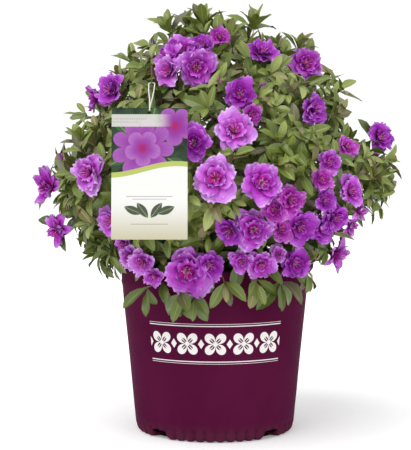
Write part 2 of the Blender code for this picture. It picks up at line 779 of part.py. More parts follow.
def hang_tie_twig(masses):
    """The twig that carries the label's tie, through the loop's high turn."""
    _, up, outward = tie_frame()
    inside = TIE_HIGH_TURN - TIE_RADIUS - TWIG_TIP_RADIUS - CLEAR
    through = TIE_TOP + up * inside
    neck = through + outward * TIE_TWIG_AHEAD
    mass = max(masses, key=lambda m: m.room(neck))
    shell = Shell()
    points = [mass.heart, through - outward * TIE_TWIG_BACK, through, neck]
    radii = [TWIG_RADIUS, TWIG_RADIUS, TWIG_TIP_RADIUS, TWIG_TIP_RADIUS]
    ring, side = shell.limb(points, radii, 3)
    dice = random.Random(SEED)
    add_whorl(shell, ring, outward, side, LEAF_LENGTH * 0.8, dice, lambda p, _: mass.holds(p))
    mass.shells.append(shell)
    mass.forks.append(points[1])


def fuse(mass, finish):
    """Joins a mass's shells by one Boolean union and returns the finished object."""
    group = bpy.data.collections.new(f"{mass.name}_pieces")
    bpy.context.scene.collection.children.link(group)
    first = None
    for n, shell in enumerate(mass.shells):
        mesh = mesh_of(shell.corners, shell.faces)
        piece = bpy.data.objects.new(f"{mass.name}_piece_{n}", mesh)
        if first is None:
            first = piece
            bpy.context.scene.collection.objects.link(piece)
        else:
            group.objects.link(piece)
    union = first.modifiers.new("union", "BOOLEAN")
    union.operation = "UNION"
    union.operand_type = "COLLECTION"
    union.collection = group
    union.solver = "EXACT"
    seen = first.evaluated_get(bpy.context.evaluated_depsgraph_get())
    mesh = bpy.data.meshes.new_from_object(seen)
    for piece in [first, *group.objects]:
        bpy.data.objects.remove(piece, do_unlink=True)
    bpy.data.collections.remove(group)
    tidy(mesh)
    return place(f"mass_{mass.name}", mesh, finish)


def tidy(mesh):
    """Keeps the largest closed shell of a fused mass, in triangles."""
    bm = bmesh.new()
    bm.from_mesh(mesh)
    spare = [v for v in bm.verts if len(v.link_edges) == 2]
    bmesh.ops.dissolve_verts(bm, verts=spare)
    bmesh.ops.triangulate(bm, faces=bm.faces)
    left = set(bm.faces)
    islands = []
    while left:
        first = left.pop()
        island, todo = {first}, [first]
        while todo:
            near = {face for edge in todo.pop().edges for face in edge.link_faces} & left
            left -= near
            island |= near
            todo += near
        islands.append(island)
    largest = max(islands, key=len)
    scrap = [face for island in islands if island is not largest for face in island]
    bmesh.ops.delete(bm, geom=scrap, context="FACES")
    bm.to_mesh(mesh)
    bm.free()


def main():
    clear_scene()
    pot()
    soil()
    bark = material("bark", (0.16, 0.10, 0.06), 0.85)
    place("stem", mesh_of(stem().corners, stem().faces), bark)
    masses = [
        Mass(n, name, azimuth, elevation)
        for n, (name, azimuth, elevation) in enumerate(mass_places())
    ]
    kept_clear = Shell()

    def keep_clear_of(shell):
        offset = len(kept_clear.corners)
        kept_clear.corners += shell.corners
        kept_clear.faces += [tuple(i + offset for i in face) for face in shell.faces]

    keep_clear_of(stem(swell=0.0008))
    for mass in masses[1:]:
        shell = bough(mass.index, mass.azimuth, mass.elevation)
        place(f"bough_{mass.name}", mesh_of(shell.corners, shell.faces), bark)
        keep_clear_of(bough(mass.index, mass.azimuth, mass.elevation, swell=0.0008))
    label()
    loop = tie()
    place("label_tie", mesh_of(loop.corners, loop.faces), material("tie", (0.75, 0.78, 0.68), 0.5))
    keep_clear_of(tie(swell=0.0006))
    keep_clear_of(card(swell=0.0008))
    for mass in masses:
        mass.set_borders(masses)
        mass.start_stem()
    clear_tree = kept_clear.tree()
    hang_tie_twig(masses)
    tips = all_tips()
    for n, (kind, point, axis, size) in enumerate(tips):
        mass = max(masses, key=lambda m: m.room(point))
        grow_tip(mass, kind, point, axis, size, random.Random(SEED * 7 + n), clear_tree)
    foliage = material("foliage", (0.12, 0.22, 0.05), 0.55)
    for mass in masses:
        fuse(mass, foliage)


main()
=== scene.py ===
import math
import random

import bpy
import numpy as np
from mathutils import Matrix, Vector, noise


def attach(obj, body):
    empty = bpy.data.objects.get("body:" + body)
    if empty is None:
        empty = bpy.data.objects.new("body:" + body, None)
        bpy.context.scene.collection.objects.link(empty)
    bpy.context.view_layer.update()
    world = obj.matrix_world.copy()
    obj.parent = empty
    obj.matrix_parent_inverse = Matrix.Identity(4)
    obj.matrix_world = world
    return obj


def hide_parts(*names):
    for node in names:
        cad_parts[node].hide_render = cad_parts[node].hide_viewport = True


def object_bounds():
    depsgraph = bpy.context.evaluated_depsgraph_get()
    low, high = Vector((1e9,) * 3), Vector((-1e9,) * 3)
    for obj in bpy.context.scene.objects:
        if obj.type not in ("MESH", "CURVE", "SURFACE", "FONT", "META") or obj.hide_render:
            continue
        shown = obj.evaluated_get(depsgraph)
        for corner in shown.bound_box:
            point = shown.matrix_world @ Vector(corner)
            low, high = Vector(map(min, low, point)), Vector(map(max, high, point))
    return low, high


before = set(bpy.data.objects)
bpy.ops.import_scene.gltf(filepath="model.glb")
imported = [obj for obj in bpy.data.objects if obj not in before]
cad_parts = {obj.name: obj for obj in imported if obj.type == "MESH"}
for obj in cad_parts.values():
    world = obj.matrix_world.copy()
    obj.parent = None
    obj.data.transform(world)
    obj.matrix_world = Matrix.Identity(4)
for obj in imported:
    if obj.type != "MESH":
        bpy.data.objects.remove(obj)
cad_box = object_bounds()

# ---------------------------------------------------------------- pot
# A tapered nursery container, moulded in one piece from burgundy polypropylene with a satin skin.
# The rim is rolled outwards, the foot is fluted and four notches at its edge let the water out. A
# plain ornament of rules, four-petalled flowers and lozenges is screen printed in white on the front.
POT_HEIGHT = 0.248
POT_TOP_RADIUS = 0.1415
POT_FOOT_RADIUS = 0.1175
POT_WALL = 0.0026
POT_FLOOR = 0.005
POT_CORNER = 0.008
RIM_HEIGHT = 0.010
RIM_OUT = 0.0035
FLUTES = 48
FLUTE_HEIGHT = 0.019
FLUTE_DEPTH = 0.0030
NOTCHES = 4
NOTCH_OUT = 0.096  # from the pot's axis to a notch's middle
NOTCH_SIZE = (0.066, 0.028, 0.027)
NOTCH_ROUNDING = 0.0035
PRINT_RADIUS = 0.133  # of the wall at the print
PRINT_MIDDLE = 0.144
PRINT_REACH = 0.1025
PRINT_RISE = 0.031
PRINT_PITCH = 0.0410
BURGUNDY = (0.070, 0.0050, 0.030)
BURGUNDY_PATCH = (0.084, 0.0072, 0.037)
SCUFFED = (0.22, 0.09, 0.15)
DUSTY = (0.16, 0.085, 0.085)
PRINT_WHITE = (0.80, 0.77, 0.76)


def pot_radius(height):
    """Outer radius of the pot's wall at this height."""
    return POT_FOOT_RADIUS + (POT_TOP_RADIUS - POT_FOOT_RADIUS) * height / POT_HEIGHT


def nothing_selected():
    if bpy.context.object and bpy.context.object.mode != "OBJECT":
        bpy.ops.object.mode_set(mode="OBJECT")
    bpy.ops.object.select_all(action="DESELECT")


def turned_up(name, sides, profile):
    """A closed round body drawn up ring by ring from a disc, from its underside to its inner floor."""
    nothing_selected()
    radius, height = profile[0]
    bpy.ops.mesh.primitive_circle_add(
        vertices=sides, radius=radius, location=(0, 0, 0), fill_type="NGON"
    )
    piece = bpy.context.object
    piece.name = name
    for corner in piece.data.vertices:
        corner.co.z = height
    bpy.ops.object.mode_set(mode="EDIT")
    bpy.ops.mesh.select_all(action="SELECT")
    for further, level in profile[1:]:
        bpy.ops.mesh.extrude_region_move(TRANSFORM_OT_translate={"value": (0, 0, level - height)})
        grown = further / radius
        bpy.ops.transform.resize(value=(grown, grown, 1), center_override=(0, 0, level))
        radius, height = further, level
    bpy.ops.mesh.select_all(action="SELECT")
    bpy.ops.mesh.normals_make_consistent(inside=False)
    bpy.ops.object.mode_set(mode="OBJECT")
    return piece


def cut_away(body, tool):
    """Cuts one body's shape out of another, and leaves the other selected."""
    nothing_selected()
    body.select_set(True)
    bpy.context.view_layer.objects.active = body
    body.modifiers.new("cut", "BOOLEAN").object = tool
    bpy.ops.object.modifier_apply(modifier="cut")
    bpy.data.objects.remove(tool, do_unlink=True)


def mottling():
    """A shader group of cloudy noise, for grain, patches, wear and dust."""
    group = bpy.data.node_groups.new("mottling", "ShaderNodeTree")
    for name in ("Vector", "Stretch"):
        group.interface.new_socket(name, in_out="INPUT", socket_type="NodeSocketVector")
    for name in ("Scale", "Detail", "Roughness"):
        group.interface.new_socket(name, in_out="INPUT", socket_type="NodeSocketFloat")
    group.interface.new_socket("Mask", in_out="OUTPUT", socket_type="NodeSocketFloat")
    kinds = ("NodeGroupInput", "ShaderNodeMapping", "ShaderNodeTexNoise", "NodeGroupOutput")
    given, spread, clouds, result = (group.nodes.new(kind) for kind in kinds)
    group.links.new(given.outputs["Vector"], spread.inputs["Vector"])
    group.links.new(given.outputs["Stretch"], spread.inputs["Scale"])
    group.links.new(spread.outputs["Vector"], clouds.inputs["Vector"])
    for name in ("Scale", "Detail", "Roughness"):
        group.links.new(given.outputs[name], clouds.inputs[name])
    group.links.new(clouds.outputs["Fac"], result.inputs["Mask"])
    return group


class Signal:
    """A value that a material works out at each point of a piece. It takes + - * / ** and abs."""

    def __init__(self, shading, socket):
        self.shading, self.socket = shading, socket

    def __add__(self, other):
        return self.shading.math("ADD", self, other)

    def __sub__(self, other):
        return self.shading.math("SUBTRACT", self, other)

    def __mul__(self, other):
        return self.shading.math("MULTIPLY", self, other)

    def __truediv__(self, other):
        return self.shading.math("DIVIDE", self, other)

    def __pow__(self, other):
        return self.shading.math("POWER", self, other)

    def __abs__(self):
        return self.shading.math("ABSOLUTE", self)


class Shading:
    """One material while its nodes are put in. Sockets are given as numbers, colours or signals."""

    def __init__(self, name, colour, roughness, specular=0.5):
        self.made = bpy.data.materials.new(name)
        self.made.use_nodes = True
        self.tree = self.made.node_tree
        self.skin = self.tree.nodes["Principled BSDF"]
        self.place = None
        self.set("Base Color", colour)
        self.set("Roughness", roughness)
        self.set("Specular IOR Level", specular)

    def give(self, socket, value):
        if isinstance(value, Signal):
            self.tree.links.new(value.socket, socket)
        else:
            socket.default_value = (*value, 1.0) if socket.type == "RGBA" else value

    def set(self, name, value):
        self.give(self.skin.inputs[name], value)

    def node(self, kind, output=0, inputs=None, **settings):
        made = self.tree.nodes.new(kind)
        for key, value in settings.items():
            setattr(made, key, value)
        for key, value in (inputs or {}).items():
            self.give(made.inputs[key], value)
        return Signal(self, made.outputs[output])

    def where(self):
        if self.place is None:
            self.place = self.node("ShaderNodeTexCoord", "Object")
        return self.place

    def parts(self, vector):
        """The x, y and z of a vector."""
        split = self.node("ShaderNodeSeparateXYZ", 0, {0: vector}).socket.node
        return [Signal(self, part) for part in split.outputs]

    def math(self, operation, *values):
        return self.node("ShaderNodeMath", 0, dict(enumerate(values)), operation=operation)

    def length(self, x, y):
        return self.math("SQRT", x**2.0 + y**2.0)

    def most(self, first, *others):
        """The greatest of these signals."""
        for other in others:
            first = self.math("MAXIMUM", first, other)
        return first

    def cloud(self, scale, detail=3.0, rough=0.55, stretch=(1.0, 1.0, 1.0)):
        inputs = {"Vector": self.where(), "Scale": scale, "Detail": detail, "Roughness": rough}
        inputs["Stretch"] = stretch
        return self.node("ShaderNodeGroup", "Mask", inputs, node_tree=cloudy_noise)

    def between(self, value, low, high, out_low=0.0, out_high=1.0):
        inputs = {"Value": value, 1: low, 2: high, 3: out_low, 4: out_high}
        return self.node("ShaderNodeMapRange", 0, inputs, interpolation_type="SMOOTHSTEP")

    def below(self, value, edge, end):
        """1 up to the edge, then fading to 0 at the end."""
        return self.between(value, edge, end, 1.0, 0.0)

    def stripe(self, value, middle, half, end):
        """1 this near to the middle, then fading to 0."""
        return self.below(abs(value - middle), half, end)

    def blend(self, share, one, other):
        inputs = {0: share, 6: one, 7: other}
        return self.node("ShaderNodeMix", 2, inputs, data_type="RGBA")

    def relief(self, height, strength, distance):
        inputs = {"Height": height, "Strength": strength, "Distance": distance}
        self.set("Normal", self.node("ShaderNodeBump", 0, inputs))


cloudy_noise = mottling()
rim_bottom = POT_HEIGHT - RIM_HEIGHT
rim_radius = pot_radius(rim_bottom) + RIM_OUT
floor_radius = pot_radius(POT_FLOOR) - POT_WALL - FLUTE_DEPTH
pot_profile = [(0.088, 0.0016), (0.0905, 0.0014), (0.0925, 0.0)]
for turn in range(0, 91, 18):
    a = math.radians(turn)
    foot = POT_FOOT_RADIUS - POT_CORNER * (1 - math.sin(a))
    pot_profile.append((foot, POT_CORNER * (1 - math.cos(a))))
wall_levels = [0.011, 0.0135, 0.0155, 0.017, FLUTE_HEIGHT]
wall_levels += [FLUTE_HEIGHT + (rim_bottom - 0.0215 - FLUTE_HEIGHT) * n / 14 for n in range(1, 15)]
pot_profile += [(pot_radius(level), level) for level in wall_levels]
pot_profile += [
    (pot_radius(rim_bottom - 0.018) + 0.0007, rim_bottom - 0.018),  # a bead that stiffens the wall
    (pot_radius(rim_bottom - 0.015) + 0.0009, rim_bottom - 0.015),
    (pot_radius(rim_bottom - 0.012), rim_bottom - 0.012),
    (pot_radius(rim_bottom), rim_bottom),
    (rim_radius - 0.0008, rim_bottom + 0.0002),  # the rolled rim
    (rim_radius, rim_bottom + 0.0012),
    (rim_radius + 0.0001, rim_bottom + 0.005),
    (rim_radius, POT_HEIGHT - 0.0020),
    (rim_radius - 0.0006, POT_HEIGHT - 0.0006),
    (rim_radius - 0.0018, POT_HEIGHT),
    (POT_TOP_RADIUS - POT_WALL + 0.0012, POT_HEIGHT),
    (POT_TOP_RADIUS - POT_WALL + 0.0002, POT_HEIGHT - 0.0006),
    (POT_TOP_RADIUS - POT_WALL, POT_HEIGHT - 0.0018),  # and down inside to the floor
    (pot_radius(0.21) - POT_WALL, 0.21),
    (pot_radius(0.10) - POT_WALL, 0.10),
    (floor_radius, POT_FLOOR + 0.004),
    (floor_radius - 0.001, POT_FLOOR + 0.001),
    (floor_radius - 0.004, POT_FLOOR),
]
pot = turned_up("pot_moulding", 8 * FLUTES, pot_profile)
for corner in pot.data.vertices:
    radius = math.hypot(corner.co.x, corner.co.y)
    height = corner.co.z
    if radius < POT_FOOT_RADIUS - POT_CORNER - 0.001 or height > rim_bottom:
        continue
    if radius < pot_radius(height) - POT_WALL * 0.6 and height > POT_CORNER:
        continue
    wave = (0.5 + 0.5 * math.cos(FLUTES * math.atan2(corner.co.y, corner.co.x))) ** 2.5
    fade = max(0.0, min(1.0, (FLUTE_HEIGHT - height) / 0.0035)) * min(1.0, height / 0.001 + 0.25)
    sway = 0.0004 * noise.noise(corner.co * 14) * min(1.0, height / 0.04)
    corner.co.xy *= 1 + (sway - FLUTE_DEPTH * wave * fade) / radius
    corner.co.z += 0.0020 * wave * max(0.0, 1 - height / 0.008)

for n in range(NOTCHES):
    nothing_selected()
    a = math.radians(45 + 360 * n / NOTCHES)
    bpy.ops.mesh.primitive_cube_add(
        size=1,
        location=(NOTCH_OUT * math.cos(a), NOTCH_OUT * math.sin(a), 0),
        rotation=(0, 0, a),
        scale=NOTCH_SIZE,
    )
    notch = bpy.context.object
    bpy.ops.object.transform_apply(location=True, rotation=True, scale=True)
    round_off = notch.modifiers.new("rounded", "BEVEL")
    round_off.width = NOTCH_ROUNDING
    round_off.segments = 3
    bpy.ops.object.modifier_apply(modifier="rounded")
    cut_away(pot, notch)
bpy.ops.object.shade_smooth_by_angle(angle=math.radians(32))

plastic = Shading("burgundy_plastic", BURGUNDY, 0.5, 0.02)
plastic.set("IOR", 1.25)
across, deep, up = plastic.parts(plastic.where())
arc = plastic.math("ARCTAN2", across, deep * -1.0) * PRINT_RADIUS
rise = up - PRINT_MIDDLE
level = abs(rise)


def repeated(shift):
    """Distance along the print from the nearest motif's middle."""
    return (plastic.math("FRACT", arc / PRINT_PITCH + shift) - 0.5) * PRINT_PITCH


beside = repeated(0.5)
reach = plastic.length(rise, beside)
lobe = abs(plastic.math("SINE", plastic.math("ARCTAN2", rise, beside) * 2.0))
petals = plastic.between(lobe**0.6 * 0.0175 + 0.0017 - reach, 0.0, 0.0003)
hollows = plastic.between(lobe * 0.0146 - 0.0035 - reach, 0.0, 0.0003)
veins = plastic.between(lobe - 0.985, 0.0, 0.004) * petals
eye = plastic.below(reach, 0.0032, 0.0035)
lozenge = plastic.below(abs(repeated(0.0)) * 1.5 + level, 0.0066, 0.0069)
rules = plastic.stripe(level, 0.0255, 0.00055, 0.0008)
thin_rules = plastic.stripe(level, 0.0285, 0.0002, 0.0004)
motifs = plastic.most(petals - hollows, veins, eye, lozenge, rules, thin_rules)
ends = plastic.below(abs(arc), PRINT_REACH, PRINT_REACH + 0.0004)
printed = motifs * ends * plastic.below(level, PRINT_RISE, PRINT_RISE + 0.0005)
skin = plastic.blend(plastic.between(plastic.cloud(9.0, 4.0), 0.3, 0.7), BURGUNDY, BURGUNDY_PATCH)
scuffs = plastic.between(plastic.cloud(60.0, 6.0, 0.7, (1.0, 1.0, 0.12)), 0.66, 0.74, 0.0, 0.16)
skin = plastic.blend(scuffs, skin, SCUFFED)
foot_dust = plastic.between(up, 0.0, 0.030, 0.30, 0.0) * plastic.cloud(70.0, 5.0)
skin = plastic.blend(foot_dust, skin, DUSTY)
plastic.set("Base Color", plastic.blend(printed, skin, PRINT_WHITE))
plastic.set("Roughness", plastic.between(plastic.cloud(240.0, 3.0), 0.3, 0.7, 0.46, 0.58))
plastic.relief(plastic.cloud(1400.0, 2.0) + printed * 0.8, 0.22, 0.00012)
pot.data.materials.append(plastic.made)
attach(pot, "root")
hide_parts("pot")

# ---------------------------------------------------------------- potting mix
# Composted pine bark with a little white perlite, filled to 26 mm below the rim. Its top is uneven,
# drawn up a little round the stem, and loose bark chips lie over it.
SOIL_LEVEL = 0.222
SOIL_SIDES = 72
SOIL_GAP = 0.0008  # between the mix and the pot's wall
SOIL_UNDER_CHIPS = 0.2212
CHIPS = 1100
CHIPS_REACH = 0.131
CHIPS_FREE = 0.022  # round the stem
CHIPS_LOWEST = 0.2185
PERLITE_SHARE = 0.06
EARTH_BROWNS = (0.022, 0.013, 0.009), (0.105, 0.060, 0.034)
FIBRE_BROWN = (0.17, 0.11, 0.07)
PERLITE_WHITE = (0.62, 0.60, 0.55)


def square_to(axis):
    """Two unit vectors at right angles to the axis and to each other."""
    side = axis.orthogonal().normalized()
    return side, axis.cross(side)


def laid_out(pattern, faces, roots, frames, sizes, first=0):
    """Corners and faces of a pattern's copies, each turned to its own axes, sized and moved to its root."""
    turned = np.einsum("kc,ncd->nkd", pattern, np.array(frames))
    placed = np.array(roots)[:, None, :] + turned * np.asarray(sizes)[:, None, None]
    starts = first + np.arange(len(roots)) * len(pattern)
    return placed.reshape(-1, 3), (faces[None] + starts[:, None, None]).reshape(-1, faces.shape[1])


def joined(name, corners, faces, finishes, kinds, smooth=True):
    """One mesh from arrays of corners and faces, each face with the finish that its kind names."""
    mesh = bpy.data.meshes.new(name)
    mesh.from_pydata(corners.tolist(), [], [list(dict.fromkeys(face)) for face in faces.tolist()])
    for finish in finishes:
        mesh.materials.append(finish)
    mesh.polygons.foreach_set("material_index", np.ascontiguousarray(kinds, np.int32))
    mesh.polygons.foreach_set("use_smooth", np.full(len(faces), smooth))
    mesh.update()
    piece = bpy.data.objects.new(name, mesh)
    bpy.context.scene.collection.objects.link(piece)
    return piece


def finished(piece, shading):
    """Smooths a piece and gives it one material."""
    piece.data.materials.clear()
    piece.data.materials.append(shading.made)
    piece.data.polygons.foreach_set("use_smooth", [True] * len(piece.data.polygons))


def lumps(place):
    """Height of the small lumps in the mix's surface."""
    return 0.0022 * noise.fractal(place * 42, 0.6, 2.1, 4)


edge = pot_radius(SOIL_LEVEL) - POT_WALL - SOIL_GAP
soil_profile = [(0.110, 0.0148)]
for level in (0.014, 0.030, 0.080, 0.130, 0.180, 0.212, 0.218):
    soil_profile.append((pot_radius(level) - POT_WALL - SOIL_GAP, level))
soil_profile.append((edge - 0.001, 0.2205))
for share in (0.97, 0.9, 0.8, 0.68, 0.56, 0.44, 0.32, 0.2, 0.1, 0.03):
    soil_profile.append((edge * share - 0.002, SOIL_UNDER_CHIPS))
mix = turned_up("potting_mix_fill", SOIL_SIDES, soil_profile)
for corner in mix.data.vertices:
    if corner.co.z > 0.2195:
        mound = 0.0035 * max(0.0, 1 - math.hypot(corner.co.x, corner.co.y) / 0.05) ** 2
        corner.co.z += mound + lumps(corner.co) - 0.0006
    elif corner.co.z > 0.02:
        corner.co.xy *= 1 - 0.004 * abs(noise.noise(corner.co * 90))

nothing_selected()
bpy.ops.mesh.primitive_ico_sphere_add(subdivisions=1, radius=0.5)
lump = bpy.context.object
chip_corners = np.array([v.co for v in lump.data.vertices])
chip_faces = np.array([list(p.vertices) for p in lump.data.polygons])
bpy.data.objects.remove(lump, do_unlink=True)
dice = random.Random(7)
roots, frames, sizes, kinds = [], [], [], []
for n in range(CHIPS):
    radius = CHIPS_REACH * math.sqrt(dice.random())
    turn = dice.uniform(0, 2 * math.pi)
    x, y = radius * math.cos(turn), radius * math.sin(turn)
    if radius < CHIPS_FREE:
        continue
    ground = SOIL_LEVEL - 0.0008 + lumps(Vector((x, y, SOIL_UNDER_CHIPS)))
    along = Vector((math.cos(turn * 7), math.sin(turn * 7), dice.uniform(-0.35, 0.35))).normalized()
    side, over = square_to(along)
    pale = dice.random() < PERLITE_SHARE
    flat = 1.0 if pale else dice.uniform(0.25, 0.5)
    long = 1.0 if pale else dice.uniform(1.2, 2.6)
    frames.append([along * long, side, over * flat])
    roots.append((x, y, ground + dice.uniform(-0.0002, 0.0012)))
    sizes.append(dice.uniform(0.0022, 0.0034) if pale else dice.uniform(0.003, 0.0062))
    kinds.append(1 if pale else 0)
corners, faces = laid_out(chip_corners, chip_faces, roots, frames, sizes)
corners += np.random.default_rng(5).normal(0, 0.0004, corners.shape)
corners[:, 2] = np.maximum(corners[:, 2], CHIPS_LOWEST)
far = np.hypot(corners[:, 0], corners[:, 1])
corners[:, :2] *= np.minimum(1.0, 0.1345 / np.maximum(far, 1e-6))[:, None]

bark_mix = Shading("bark_mix", (0.05, 0.03, 0.02), 0.9, 0.3)
fine = bark_mix.cloud(420.0, 5.0, 0.7)
coarse = bark_mix.between(bark_mix.cloud(95.0, 3.0), 0.38, 0.62)
earth = bark_mix.blend(coarse, *EARTH_BROWNS)
earth = bark_mix.blend(bark_mix.between(fine, 0.5, 0.75, 0.0, 0.6), earth, FIBRE_BROWN)
bark_mix.set("Base Color", earth)
bark_mix.relief(fine, 0.8, 0.0012)
perlite = Shading("perlite", PERLITE_WHITE, 0.85, 0.3)
perlite.relief(perlite.cloud(1500.0, 3.0), 0.5, 0.0003)
finished(mix, bark_mix)
kinds = np.repeat(kinds, len(chip_faces))
chips = joined("bark_chips", corners, faces, [bark_mix.made, perlite.made], kinds, False)
for piece in (mix, chips):
    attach(piece, "root")
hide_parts("potting_mix")
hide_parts("potting_mix")

# ---------------------------------------------------------------- stem and boughs
# One short woody stem, flared where the roots begin, that divides low down into two tiers of boughs.
# They are grown together into one frame. The bark is grey-brown and finely fissured along each limb.
CLEAR = 0.0003
STEM_HEIGHT = 0.112
STEM_FLARE = 0.021
STEM_RADIUS = 0.012
STEM_TIP_RADIUS = 0.0048
STEM_LEAN = Vector((0.007, 0.004, 0.0))
BOUGH_RADIUS = 0.0044
BOUGH_TIP_RADIUS = 0.0024
LIMB_END_RADIUS = 0.0020
CROWN_MIDDLE = Vector((0.0, 0.0, 0.378))
CROWN_OUT = 0.280
CROWN_UP = 0.256
CROWN_DOWN = 0.170
DOME_POWER = 1.45
BOWL_POWER = 1.7
HEART = 0.64  # of the crown's reach, where a mass's twigs begin
BOUGH_REACH = 0.44
RINGS = (("upper", 5, -36.0, 38.0), ("lower", 7, 0.0, -8.0))  # tier, boughs, first azimuth, elevation
LOW_BOUGH = (0.30, 24)  # share of the stem where it leaves, and its first slope in degrees
HIGH_BOUGH = (0.62, 44)
BOUGH_STEPS = 12
LIMB_STEPS = 10
STEM_STEPS = 24
AXIS_UP = Vector((0.0, 0.0, 1.0))
LIMB_SIDES = 16
BARK_GRAIN = 0.00100  # size of the bark mesh's faces
BARK_BROWNS = (0.055, 0.035, 0.024), (0.22, 0.155, 0.105)  # in the furrows and between them
BARK_GREY = (0.27, 0.235, 0.18)
FLARE_HEIGHT = 0.018


def stem_centre(share):
    foot = Vector((0.0, 0.0, SOIL_LEVEL + CLEAR))
    return foot + STEM_LEAN * share**1.5 + AXIS_UP * STEM_HEIGHT * share


def stem_radius(share):
    flare = (STEM_FLARE - STEM_RADIUS) * max(0.0, 1 - share / 0.2) ** 2
    return STEM_RADIUS + (STEM_TIP_RADIUS - STEM_RADIUS) * share**1.6 + flare


def towards(azimuth, elevation):
    """Unit vector; azimuth 0 is the front and 90 the right."""
    a, e = math.radians(azimuth), math.radians(elevation)
    return Vector((math.sin(a) * math.cos(e), -math.cos(a) * math.cos(e), math.sin(e)))


def crown_reach(direction):
    """How far the crown reaches from its middle in this direction."""
    level = math.hypot(direction.x, direction.y) / CROWN_OUT
    if direction.z > 0:
        power, height = DOME_POWER, direction.z / CROWN_UP
    else:
        power, height = BOWL_POWER, -direction.z / CROWN_DOWN
    return (level**power + height**power) ** (-1 / power)


class Mass:
    """One mass of the crown: its own space, its limb from the stem, and the forks grown in it."""

    def __init__(self, index, name, azimuth, elevation):
        self.index, self.name, self.azimuth, self.elevation = index, name, azimuth, elevation
        self.out = towards(azimuth, elevation)
        self.heart = CROWN_MIDDLE + self.out * crown_reach(self.out) * HEART
        self.borders = []
        self.forks = []

    def set_borders(self, masses):
        for other in masses:
            if other is not self:
                away = (other.heart - self.heart).normalized()
                self.borders.append(((self.heart + other.heart) / 2, away))

    def room(self, point):
        return min((middle - point).dot(away) for middle, away in self.borders)

    def drawn_in(self, point, margin):
        moved = point.copy()
        for _ in range(3):
            for middle, away in self.borders:
                lacking = margin - (middle - moved).dot(away)
                if lacking > 0:
                    moved -= away * lacking
        return moved

    def bough(self):
        """The bough's middle line and radii, from inside the stem to the mass."""
        low = self.elevation < 20
        share, slope = LOW_BOUGH if low else HIGH_BOUGH
        share += 0.05 * (self.index % 2)
        heading = towards(self.azimuth, slope)
        start = stem_centre(share) + towards(self.azimuth, 0) * (stem_radius(share) + BOUGH_RADIUS)
        end = CROWN_MIDDLE + self.out * crown_reach(self.out) * BOUGH_REACH
        span = (end - start).length
        first, second = start + heading * span * 0.4, end - self.out * span * 0.35
        line = [stem_centre(share - 0.05), stem_centre(share - 0.02).lerp(start, 0.6)]
        radii = [BOUGH_RADIUS * 1.25, BOUGH_RADIUS * 1.3]
        for n in range(BOUGH_STEPS + 1):
            t = n / BOUGH_STEPS
            u = 1 - t
            line.append(u**3 * start + 3 * u * u * t * first + 3 * u * t * t * second + t**3 * end)
            radii.append(BOUGH_RADIUS + (BOUGH_TIP_RADIUS - BOUGH_RADIUS) * t)
        return line, radii

    def limb(self):
        """The bough, or the stem's own end for the top mass, carried on to the mass's heart."""
        if self.elevation > 80:
            line, radii = [stem_centre(0.9), stem_centre(1.0)], [STEM_TIP_RADIUS, STEM_TIP_RADIUS * 0.8]
        else:
            line, radii = self.bough()
        heading = (line[-1] - line[-2]).normalized()
        straight = line[-1] + heading * 0.006
        ahead = (self.heart - straight).normalized()
        thick = radii[-1]
        for n in range(1, LIMB_STEPS + 1):
            t = n / LIMB_STEPS
            bulge = (heading - ahead * heading.dot(ahead)) * 0.010 * math.sin(math.pi * t)
            line.append(straight.lerp(self.heart, t) + bulge)
            radii.append(thick * (1 - t) + LIMB_END_RADIUS * t)
        self.forks += [straight.lerp(self.heart, 0.5), self.heart]
        return line, radii


def tubes(name, lines, sides):
    """One mesh of round tapering tubes, each through (points, radii), closed at its ends."""
    nothing_selected()
    curve = bpy.data.curves.new(name, "CURVE")
    curve.dimensions = "3D"
    curve.bevel_depth = 1.0
    curve.bevel_resolution = (sides - 4) // 2
    curve.use_fill_caps = True
    for points, radii in lines:
        spline = curve.splines.new("POLY")
        spline.points.add(len(points) - 1)
        flat = np.ones((len(points), 4))
        flat[:, :3] = [list(p) for p in points]
        spline.points.foreach_set("co", flat.ravel())
        spline.points.foreach_set("radius", list(radii))
        spline.use_smooth = True
    piece = bpy.data.objects.new(name, curve)
    bpy.context.scene.collection.objects.link(piece)
    piece.select_set(True)
    bpy.context.view_layer.objects.active = piece
    bpy.ops.object.convert(target="MESH")
    return bpy.context.object


places = [("top", 0.0, 90.0)]
for tier, number, first, elevation in RINGS:
    places += [(f"{tier}_{n + 1}", first + 360 * n / number, elevation) for n in range(number)]
masses = [Mass(n, *place) for n, place in enumerate(places)]
for mass in masses:
    mass.set_borders(masses)
shares = [n / STEM_STEPS for n in range(STEM_STEPS + 1)]
stem_line = [stem_centre(0) - AXIS_UP * 0.004, *(stem_centre(s) for s in shares[1:])]
limbs = [(stem_line, [stem_radius(s) for s in shares]), *(mass.limb() for mass in masses)]
wood = tubes("woody_frame", limbs, LIMB_SIDES)
fuse = wood.modifiers.new("fuse", "REMESH")
fuse.mode = "VOXEL"
fuse.voxel_size = BARK_GRAIN
bpy.ops.object.modifier_apply(modifier="fuse")
corners = np.array([v.co for v in wood.data.vertices])
normals = np.array([v.normal for v in wood.data.vertices])
lift = np.zeros(len(corners))
for n, place in enumerate(corners):
    spot = Vector(place)
    big = 1.0 if math.hypot(spot.x, spot.y) < 0.03 and spot.z < 0.34 else 0.45
    fissure = abs(noise.noise(Vector((spot.x * 420, spot.y * 420, spot.z * 95))))
    lift[n] = big * (0.0009 * fissure + 0.0005 * noise.fractal(spot * 260, 0.7, 2.0, 3) - 0.0004)
flare = np.clip((SOIL_LEVEL + FLARE_HEIGHT - corners[:, 2]) / FLARE_HEIGHT, 0, 1)
turns = np.arctan2(corners[:, 1], corners[:, 0])
lift += flare**2 * 0.0022 * np.sin(5 * turns + 0.8)
corners += normals * lift[:, None]
wood.data.vertices.foreach_set("co", corners.ravel())
bark = Shading("azalea_bark", (0.16, 0.11, 0.075), 0.85, 0.3)
